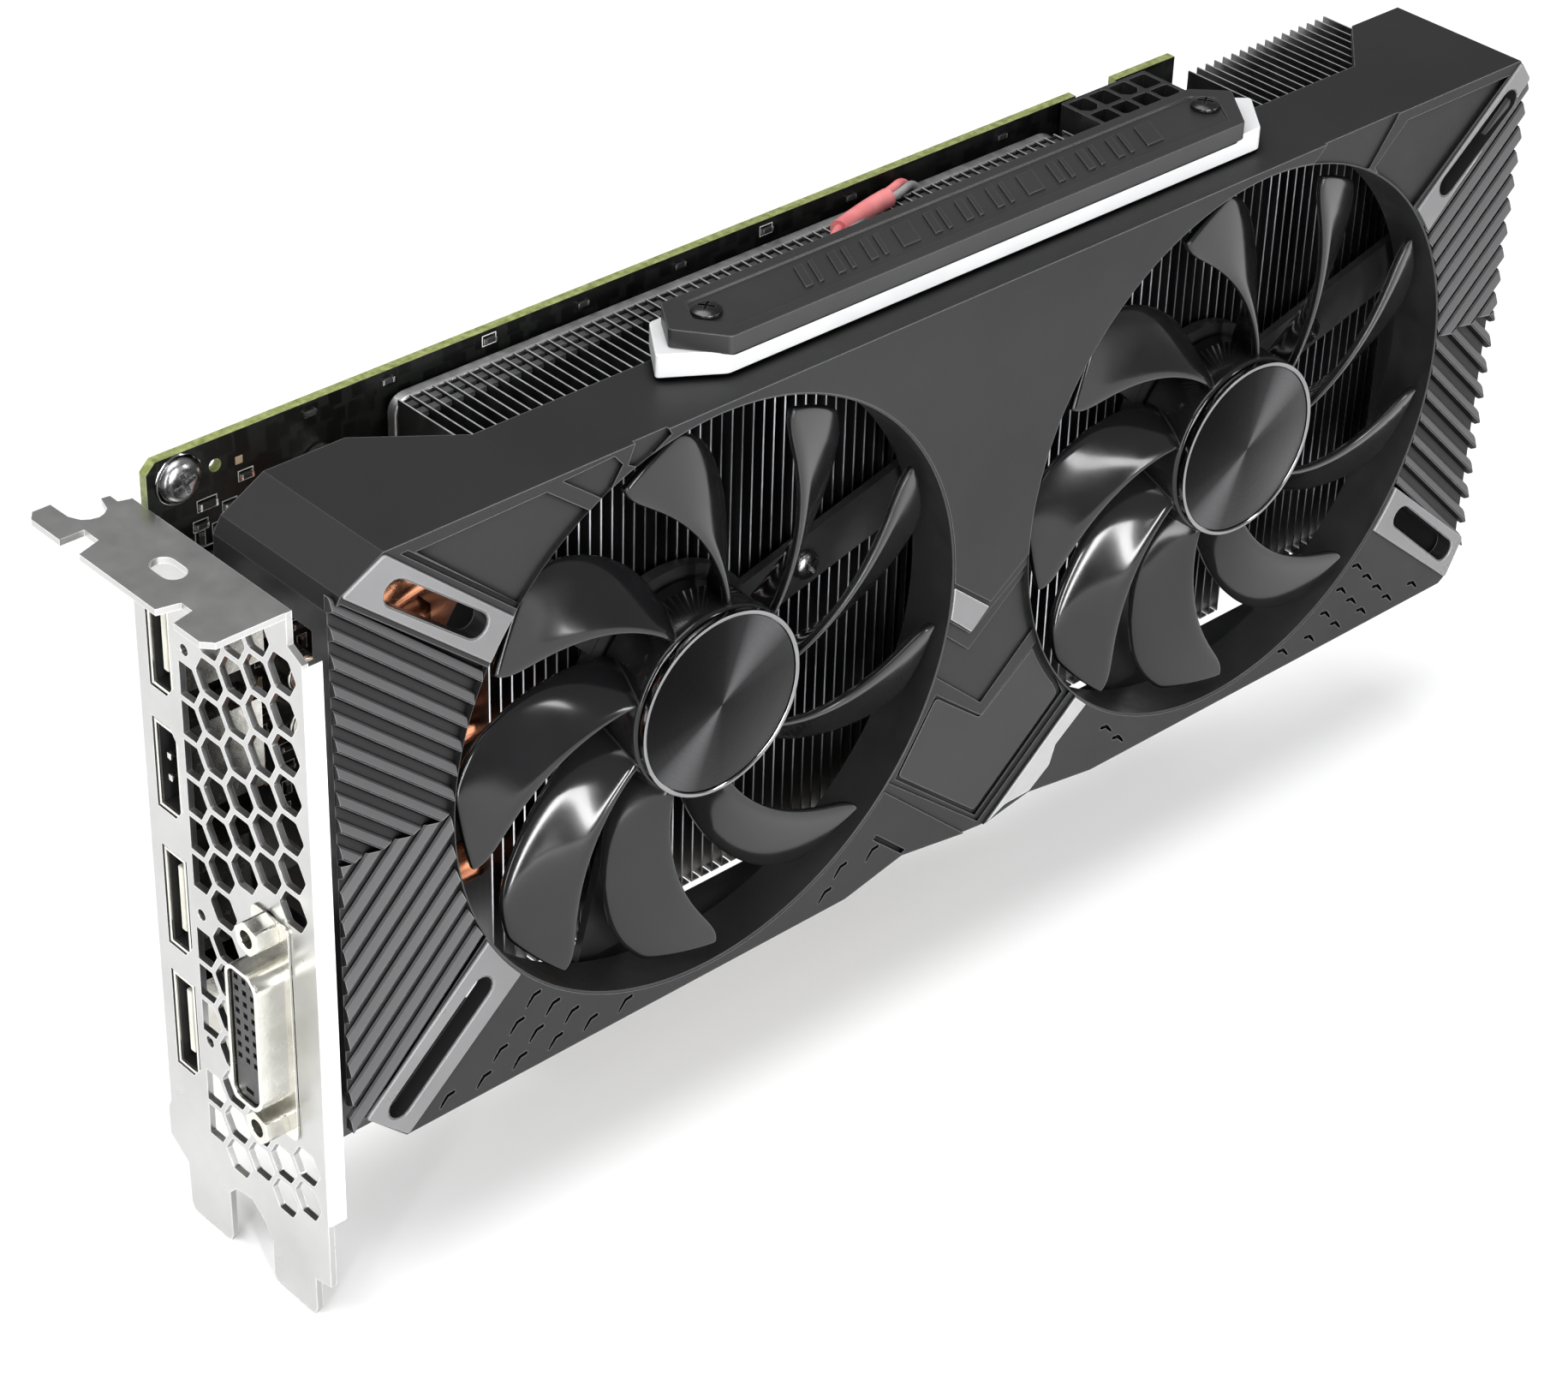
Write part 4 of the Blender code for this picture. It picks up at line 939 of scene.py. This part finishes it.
def sockets():
    outline = rounded([(-30.6, 25.6), (-29.0, 23.9), (-24.6, 23.9), (-23.4, 25.2), (-23.4, 46.2),
                       (-24.6, 47.5),
                       (-29.0, 47.5), (-30.6, 45.8)], 1.0)
    hollow = rounded([(-29.95, 26.0), (-28.7, 24.55), (-24.9, 24.55), (-24.05, 25.5), (-24.05, 45.9),
                      (-24.9, 46.85),
                      (-28.7, 46.85), (-29.95, 45.4)], 0.8)
    shell = flat("wide_socket_shell", [outline], -5.6, 2.2, "x", PORT)
    cut(shell, flat("hollow", [hollow], -9, 5, "x"))
    settle(soften(shell, 0.14, 2, 30.0), "card", "port_nickel", "dvi_port_shell")
    flange = flat("wide_socket_flange", [rounded([(-31.3, 17.0), (-22.9, 17.0), (-22.9, 54.5),
                                                  (-31.3, 54.5)], 1.6)], -0.45, -0.02, "x", PORT)
    cut(flange, flat("hollow", [hollow], -9, 5, "x"))
    settle(soften(flange, 0.1, 2, 30.0), "card", "port_nickel")
    for n, z in ((1, 52.2), (2, 19.2)):
        nut = flat("jack_nut_%d" % n, [rounded(ring(-27.0, z, 2.75, 6, 0.3), 0.3, 2)], -4.3, -0.4, "x",
                   PORT)
        cut(nut, rods("thread", ((-27.0, z),), 1.35, -6, -0.9, "x", 24))
        settle(soften(nut, 0.2, 2, 30.0), "card", "port_nickel", "dvi_jack_nut_%d" % n)
    liners = []
    for z0, z1, y0, y1, deep in ((78.7, 95.3, -6.9, -1.9, 12.9), (34.9, 51.5, -6.9, -1.9, 12.9),
                                 (13.1, 29.7, -6.9, -1.9, 12.9),
                                 (58.5, 72.9, -7.1, -1.7, 11.9)):
        a, b, c, d, t = y0 + 0.5, y1 - 0.5, z0 + 0.5, z1 - 0.5, 0.12
        liners += [((0.45, a, c), (deep, a + t, d)), ((0.45, b - t, c), (deep, b, d)),
                   ((0.45, a + t, c), (deep, b - t, c + t)),
                   ((0.45, a + t, d - t), (deep, b - t, d)), ((deep - 0.3, a + t, c + t),
                                                              (deep, b - t, d - t))]
    settle(boxes("port_liners", liners, BLACK), "card", "insulator_black")
    for n, z in ((1, 78.7), (2, 34.9), (3, 13.1)):
        tongue = boxes("port_tongue_%d" % n, [((1.0, -4.75, z + 2.6), (12.5, -3.55, z + 13.8))], CREAM)
        settle(soften(tongue, 0.25, 3), "card", "insulator_black", "display_port_%d_tongue" % n)
    dots = [((0.5, -4.6, z - 0.5), (1.6, -3.7, z + 0.5)) for z in (64.0, 67.6)]
    settle(soften(boxes("port_dots", dots, SOLDER), 0.08, 2), "card", "port_nickel")
    # bright contacts along the tongues of the video sockets
    contacts = []
    for z in (78.7, 34.9, 13.1):
        contacts += [((2.0, -3.58, z + 3.4 + 1.05 * k), (9.0, -3.46,
                                                         z + 3.85 + 1.05 * k)) for k in range(10)]
    settle(boxes("port_contacts", contacts, GOLD), "card", "port_nickel")
    springs = []
    for z0, z1 in ((58.5, 72.9), (78.7, 95.3), (34.9, 51.5), (13.1, 29.7)):
        for at in (0.3, 0.7):
            z = z0 + (z1 - z0) * at
            springs.append(((0.6, -6.75, z - 0.9), (4.4, -6.15, z + 0.9)))
    settle(soften(boxes("port_springs", springs, PORT), 0.2, 2), "card", "port_nickel")


def power_socket():
    low, high = span("power_connector")
    x0, y0, z0 = low
    x1, y1, z1 = high
    body = flat("power_socket", [rounded(rectangle(x0, y0, x1, y1), 0.5)], z0, z1, "z", POWER)
    sx, sy = (x1 - x0 - 0.8) / 4, (y1 - y0 - 0.8) / 2
    pins, pockets = [], []
    for i in range(4):
        for j in range(2):
            a, b = x0 + 0.8 + i * sx, y0 + 0.8 + j * sy
            c, d = a + sx - 0.8, b + sy - 0.8
            k = 1.15 if (i + j) % 2 else 0.25
            pockets.append([(a + k, b), (c - k, b), (c, b + k), (c, d - 0.25), (c - 0.25, d),
                            (a + 0.25, d), (a, d - 0.25), (a, b + k)])
            pins.append((((a + c) / 2 - 0.5, (b + d) / 2 - 0.5, z0 + 2.0),
                         ((a + c) / 2 + 0.5, (b + d) / 2 + 0.5, z1 - 3.5)))
    cut(body, flat("pocket", pockets, z0 + 2.5, z1 + 3, "z"))
    settle(soften(body, 0.14, 2, 30.0), "card", "power_plastic", "power_connector")
    settle(soften(boxes("power_pins", pins, GOLD), 0.15, 2), "card", "screw_steel")
    latch = boxes("power_latch", [(((x0 + x1) / 2 - 2.4, y1 - 0.1, z1 - 6.5),
                                   ((x0 + x1) / 2 + 2.4, y1 + 0.55, z1 - 2.5))], POWER)
    settle(soften(latch, 0.2, 2), "card", "power_plastic")


# ---------------------------------------------------------------- cooler

FIN_PITCH = 2.0
FIN_THICK = 0.26


def fin_plates(name, x0, count, outline_at):
    bm = bmesh.new()
    for i in range(count):
        x = x0 + i * FIN_PITCH
        outline = outline_at(x)
        near = [bm.verts.new((mm(x), mm(y), mm(z))) for y, z in outline]
        far = [bm.verts.new((mm(x + FIN_THICK), mm(y), mm(z))) for y, z in outline]
        bm.faces.new(near)
        bm.faces.new(far[::-1])
        for k in range(len(near)):
            j = (k + 1) % len(near)
            bm.faces.new((near[j], near[k], far[k], far[j]))
    bmesh.ops.recalc_face_normals(bm, faces=bm.faces)
    return from_bmesh(name, bm, FINS)


def cooler():
    low, high = span("fin_stack_main")
    y0, y1, z0, z1 = low[1], high[1], low[2], high[2]

    def main_outline(x):
        if x > 168.5:
            return [(y0, z0), (y1, z0), (y1, 96.8), (-12.8, 96.8), (-12.8, z1), (y0, z1)]
        if x > 152.5:
            return [(y0, z0), (y1, z0), (y1, z1), (y0, z1)]
        return [(y0, z0), (y1, z0), (y1, 54.6), (-11.4, 54.6), (-11.4, 79.4), (y1, 79.4), (y1, z1),
                (y0, z1)]

    settle(fin_plates("fins_main", 40.0, 78, main_outline), "card", "fin_aluminium", "fin_stack_main")
    low2, high2 = span("fin_stack_end")
    box2 = [(low2[1], low2[2]), (high2[1], low2[2]), (high2[1], high2[2]), (low2[1], high2[2])]
    settle(fin_plates("fins_end", low2[0], 17, lambda x: box2), "card", "fin_aluminium", "fin_stack_end")
    tabs, flanges = [], []
    for i in range(77):
        x = 40.26 + FIN_PITCH * i
        if x < 168.0:
            tabs += [((x + 0.1, -7.4, z1 - 1.1), (x + 1.64, -6.1, z1 - 0.35)),
                     ((x + 0.1, -9.6, z1 - 1.1), (x + 1.64, -8.3, z1 - 0.35))]
            flanges.append(((x, y1 - 0.28, z0), (x + 1.74, y1, 54.0)))
        flanges.append(((x, y0, z0), (x + 1.3, y0 + 1.6, z0 + 0.28)))
    for i in range(16):
        x = low2[0] + FIN_THICK + FIN_PITCH * i
        flanges.append(((x, low2[1], low2[2]), (x + 1.3, low2[1] + 1.6, low2[2] + 0.28)))
    settle(boxes("fin_tabs", tabs, TABS), "card", "fin_aluminium")
    settle(boxes("fin_flanges", flanges, FINS), "card", "fin_aluminium")
    lo, hi = span("base_plate")
    tray = flat("tray_plate", [rounded(rectangle(lo[0], lo[2], hi[0], hi[2]), 3.0, 8)], lo[1], hi[1], "y",
                PLATE)
    settle(soften(tray, 0.35, 3, 30.0), "card", "plate_aluminium", "base_plate")
    lo, hi = span("cold_plate")
    spreader = flat("spreader_plate", [rounded(rectangle(lo[0], lo[2], hi[0], hi[2]), 1.5, 4)], lo[1],
                    hi[1], "y", COPPER)
    settle(soften(spreader, 0.3, 2, 30.0), "card", "pipe_copper", "cold_plate")
    for number, (z_low, z_high) in enumerate(((76.0, 92.0), (68.5, 64.0), (58.0, 40.0)), start=1):
        bend = 33.0 - 3.5 * (number - 1)
        points = [(150.0, -7.9, z_low), (46.0, -7.9, z_low)]
        for i in range(25):
            t = math.pi * i / 24
            w = (1 - math.cos(t)) / 2
            points.append((bend - 6.0 * math.sin(t), -7.9 - 11.3 * w, z_low + (z_high - z_low) * w))
        points.append((51.5, -19.2, z_high))
        pipe = bar("copper_pipe_%d" % number, points, 2.98, COPPER, 7)
        settle(pipe, "card", "pipe_copper", "heat_pipe_%d" % number)


def badge():
    strip = [(67.0, -27.0), (72.4, -19.4), (182.6, -19.4), (188.6, -24.6), (182.2, -32.4), (75.6, -32.4)]
    top = [(69.6, -26.6), (73.6, -20.4), (178.6, -20.4), (183.4, -25.0), (177.0, -33.6), (75.0, -33.6)]
    lo, hi = span("light_strip")
    glow = flat("light_bar", [rounded(strip, 0.6)], lo[2], hi[2] + 0.25, "z", LIGHT)
    settle(soften(glow, 0.25, 3, 30.0), "card", "light_guide", "light_strip")
    lo, hi = span("badge_bar")
    plate = flat("badge_plate", [rounded(top, 0.6)], lo[2], hi[2], "z", BADGE)
    inner = [(74.2, -26.4), (76.4, -22.4), (176.8, -22.4), (179.6, -25.2), (175.6, -31.4), (77.6, -31.4)]
    cut(plate, flat("panel", [inner], hi[2] - 0.35, hi[2] + 2, "z"))
    soften(plate, 0.25, 2, 30.0)
    # a plain run of slanted bars where a maker would put lettering
    bars = []
    for k in range(12):
        x = 92.0 + 6.2 * k
        lean = 2.6
        if k % 4 == 3:
            bars.append([(x, -29.6), (x + 3.4, -29.6), (x + 3.4 + lean, -24.2), (x + lean, -24.2)])
        else:
            bars.append([(x, -29.6), (x + 1.5, -29.6), (x + 1.5 + lean, -24.2), (x + lean, -24.2)])
            bars.append([(x + 2.6, -29.6), (x + 3.5, -29.6), (x + 3.5 + lean, -24.2),
                         (x + 2.6 + lean, -24.2)])
    relief = flat("badge_relief", bars, hi[2] - 0.5, hi[2] - 0.02, "z", BADGE)
    settle(soften(relief, 0.1, 2, 30.0), "card", "badge_plastic")
    settle(plate, "card", "badge_plastic", "badge_bar")
    under = flat("badge_shadow_line", [rounded([(x * 0.985 + 1.9, y * 0.95 - 1.3) for x, y in top], 0.5)],
                 lo[2] - 0.45, lo[2] + 0.1, "z", MOTOR)
    settle(under, "card", "badge_plastic")


def lead():
    route = [(110.0, -21.2, 110.0), (112.5, -13.0, 110.0), (117.0, -8.0, 109.9), (128.0, -5.2, 109.9),
             (134.0, -3.9, 109.7), (137.5, -1.8, 109.4), (140.0, -1.8, 106.0), (142.0, -1.8, 101.0)]
    red = [(x, y + 0.1, z + 0.15) for x, y, z in route]
    settle(bar("light_lead_red", red, 0.75, RED, 5, "NURBS"), "card", "lead_red", "light_lead")
    grey = [(x + 0.9, y - 1.15, z + 0.1) for x, y, z in route]
    settle(bar("light_lead_grey", grey, 0.62, GREY, 5, "NURBS"), "card", "lead_red")
    sleeve = [(118.5, -8.3, 109.9), (123.0, -6.9, 109.9), (127.5, -5.9, 109.9), (131.0, -5.3, 109.8)]
    settle(bar("light_lead_sleeve", sleeve, 1.55, RED, 5, "NURBS"), "card", "lead_red")


# ---------------------------------------------------------------- small parts of the board

def scatter(seed):
    """Repeatable numbers from 0 to 1."""
    value = seed
    while True:
        value = (value * 1103515245 + 12345) % 2147483648
        yield value / 2147483648


def board_details():
    board_low, board_high = span("circuit_board")
    y_front, y_back = board_low[1], board_high[1]
    pick = scatter(7)
    chips, ends, caps, marks = [], [], [], []

    def part(x, z, w, h, tall, pile, framed, front=True):
        """One small part with its tinned ends, and its printed frame on the front."""
        y = y_front if front else y_back
        a, b = (y - tall, y) if front else (y, y + tall)
        pile.append(((x, a, z), (x + w, b, z + h)))
        low = a - 0.02 if front else a
        if w > h:
            ends.append(((x - 0.22, low, z), (x + 0.1, b, z + h)))
            ends.append(((x + w - 0.1, low, z), (x + w + 0.22, b, z + h)))
        else:
            ends.append(((x, low, z - 0.22), (x + w, b, z + 0.1)))
            ends.append(((x, low, z + h - 0.1), (x + w, b, z + h + 0.22)))
        if framed and front:
            m, t, g = 0.45, 0.13, 0.03
            x0, x1, z0, z1 = x - m, x + w + m, z - m, z + h + m
            marks.extend((((x0, y - g, z0), (x1, y, z0 + t)), ((x0, y - g, z1 - t), (x1, y, z1)),
                          ((x0, y - g, z0 + t), (x0 + t, y, z1 - t)),
                          ((x1 - t, y - g, z0 + t), (x1, y, z1 - t))))

    # beside the bracket, in loose rows
    for row in range(19):
        for col in range(6):
            x = 17.0 + 3.5 * col + 1.2 * next(pick)
            z = 22.0 + 3.9 * row + 1.0 * next(pick)
            long_way = next(pick) > 0.5
            w, h = (1.6, 0.8) if long_way else (0.8, 1.6)
            kind = next(pick)
            part(x, z, w, h, 0.45 + 0.3 * next(pick), caps if kind > 0.55 else chips, kind < 0.75)
    # the top corner
    for x, z, w, h in ((10.2, 101.4, 2.4, 1.0), (9.4, 98.6, 1.6, 0.8), (14.2, 100.0, 1.6, 0.8),
                       (9.6, 96.2, 0.8, 1.5),
                       (17.0, 103.6, 1.6, 0.8), (12.4, 97.2, 1.6, 0.9)):
        part(x, z, w, h, 0.55, chips, True)
    caps.append(((16.2, y_front - 0.12, 106.0), (17.4, y_front, 107.2)))
    # the strip above the cooler
    for k in range(9):
        x = 24.0 + 16.5 * k + 5.0 * next(pick)
        if 168.0 < x < 195.0 or 133.0 < x < 146.0:
            continue
        part(x, 109.3 - 0.4 * next(pick), 1.6, 0.8, 0.5, chips, next(pick) > 0.9)
    marks.append(((3.0, y_front - 0.03, 95.4), (14.6, y_front, 95.6)))
    # the back of the board
    for row in range(11):
        for col in range(16):
            x = 22.0 + 10.6 * col + 3.0 * next(pick)
            z = 17.0 + 8.4 * row + 2.0 * next(pick)
            if any(math.hypot(x - a, z - b) < 6.0 for a in (87.5, 146.5) for b in (34.0, 93.0)):
                continue
            kind = next(pick)
            w, h = (1.6, 0.8) if kind > 0.5 else (0.8, 1.6)
            part(x, z, w, h, 0.5, caps if kind > 0.6 else chips, False, False)
    for k in range(10):
        for j in range(10):
            x, z = 100.0 + 3.4 * k, 46.5 + 3.4 * j
            if (k + j) % 2:
                part(x, z, 1.5, 0.8, 0.5, caps, False, False)
    pins = [(173.8 + 4.4 * i, 100.6 + 4.2 * j) for i in range(4) for j in range(2)]
    pins += [(6.0 + 2.0 * k, z) for k in range(6) for z in (20.0, 42.0, 64.0, 86.0)]
    joints = rods("solder_points", pins, 0.75, y_back, y_back + 0.7, "y", 14, SOLDER)
    settle(soften(joints, 0.3, 2), "card", "screw_steel")
    settle(soften(boxes("small_chips", chips, CHIP), 0.06, 1), "card", "insulator_black")
    settle(soften(boxes("small_caps", caps, TAN), 0.06, 1), "card", "insulator_black")
    settle(boxes("part_ends", ends, SOLDER), "card", "port_nickel")
    settle(boxes("board_marks", marks, MARK), "card", "board_black")
    # gilt pads on both sides of the contact edge
    pads = []
    for a, b in ((51.4, 61.4), (64.4, 134.6)):
        count = int(b - a)
        for k in range(count):
            x = a + 0.15 + k
            base = 0.9 if 0 < k < count - 1 else 1.6
            pads.append(((x, y_front - 0.04, base), (x + 0.7, y_front + 0.02, 6.2)))
            pads.append(((x, y_back - 0.02, base), (x + 0.7, y_back + 0.04, 6.2)))
    settle(boxes("gilt_pads", pads, GOLD), "card", "port_nickel")
    socket_side = boxes("power_choke_top", [((17.5, y_front - 5.2, 84.5), (24.5, y_front, 91.5))], CHOKE)
    cut(socket_side, boxes("groove", [((16.0, y_front - 6.0, 87.7), (26.0, y_front - 4.9, 88.3))]))
    settle(soften(socket_side, 0.35, 3), "card", "choke_ferrite")
    cans = rods("tall_capacitors", [(21.0, 74.0), (21.0, 66.0), (29.5, 101.5)], 2.9, y_front - 7.2,
                y_front, "y", 40, PORT)
    settle(soften(cans, 0.5, 3), "card", "port_nickel")


# ---------------------------------------------------------------- room, light and camera

def floor():
    mat, tree, shader = new_finish("floor_white")
    tone = ramp(tree, noise(tree, object_space(tree), 3.0), ((0.3, grey(0.90)), (0.7, grey(0.93))))
    wire(tree, shader, {"Base Color": tone, "Roughness": 0.9, "Specular IOR Level": 0.1})
    bm = bmesh.new()
    bmesh.ops.create_grid(bm, x_segments=2, y_segments=2, size=4.0)
    ground = from_bmesh("floor", bm, mat)
    ground.location = (0.1, 0.0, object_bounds()[0][2] - 0.0003)
    ground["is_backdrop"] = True


def soft_light(name, spot, aim, width, height, power):
    data = bpy.data.lights.new(name, "AREA")
    data.shape = "RECTANGLE"
    data.size, data.size_y = width, height
    data.energy = power
    lamp = new_object(name, data)
    lamp.location = spot
    lamp.rotation_euler = (Vector(aim) - Vector(spot)).to_track_quat("-Z", "Y").to_euler()


def room():
    world = bpy.data.worlds.new("room")
    SCENE.world = world
    world.use_nodes = True
    tree = world.node_tree
    split = add(tree, "SeparateXYZ", {"Vector": add(tree, "TexCoord").outputs["Generated"]})
    sky = ramp(tree, spread(tree, split.outputs["Z"], 0.0, 1.0, -0.2, 1.0),
               ((0.0, grey(0.35)), (0.45, grey(0.62, 0.625)), (1.0, grey(1.0))))
    wire(tree, tree.nodes["Background"], {"Color": sky, "Strength": 0.46})
    target = (0.12, -0.02, 0.05)
    soft_light("key", (-0.25, 0.10, 1.25), target, 1.2, 1.2, 19.0)
    soft_light("left_panel", (-0.95, -0.60, 0.40), target, 0.12, 0.9, 5.0)
    soft_light("front_strip_1", (-0.10, -1.15, 0.42), target, 0.09, 0.8, 9.0)
    soft_light("front_strip_2", (-0.38, -1.08, 0.40), target, 0.09, 0.8, 9.0)
    soft_light("right_strip", (0.75, -1.0, 0.40), target, 0.10, 0.7, 4.0)


def camera():
    az, el, roll = math.radians(-43.36), math.radians(34.43), math.radians(1.97)
    back = Vector((math.sin(az) * math.cos(el), -math.cos(az) * math.cos(el), math.sin(el)))
    data = bpy.data.cameras.new("view")
    data.lens = 92.23
    data.sensor_width = 36.0
    data.clip_start, data.clip_end = 0.05, 20.0
    view = new_object("view", data)
    turn = (-back).to_track_quat("-Z", "Y").to_matrix() @ Matrix.Rotation(roll, 3, "Z")
    view.matrix_world = Matrix.Translation((-0.24287, -0.38266, 0.38423)) @ turn.to_4x4()
    SCENE.camera = view


def carry_over():
    """Finishes for the solid nodes that stay."""
    finishes = {"circuit_board": BOARD, "gpu_package": PACKAGE, "gpu_die": DIE, "dvi_port_insert": BLACK,
                "dvi_port_body": BLACK,
                "hdmi_port_shell": PORT, "hdmi_port_tongue": BLACK}
    for n in (1, 2, 3):
        finishes["display_port_%d_shell" % n] = PORT
        finishes["power_choke_%d" % n] = CHOKE
    for n in range(1, 5):
        finishes["memory_chip_%d" % n] = CHIP
    for side in ("left_fan", "right_fan"):
        finishes[side + "_motor_frame"] = MOTOR
        finishes[side + "_shaft"] = STEEL
    for name, mat in finishes.items():
        paint(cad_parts[name], mat)


def build():
    SCENE.view_settings.view_transform = "Standard"
    camera()
    carry_over()
    settle(shroud_body(), "card", "shroud_plastic", "cooler_shroud")
    for side in ("left", "right"):
        settle(rib_field(side), "card", "shroud_plastic")
    front_pieces()
    fan("left_fan", FANS[0])
    fan("right_fan", FANS[1])
    screws()
    bracket()
    sockets()
    power_socket()
    cooler()
    badge()
    lead()
    board_details()
    floor()
    room()


build()
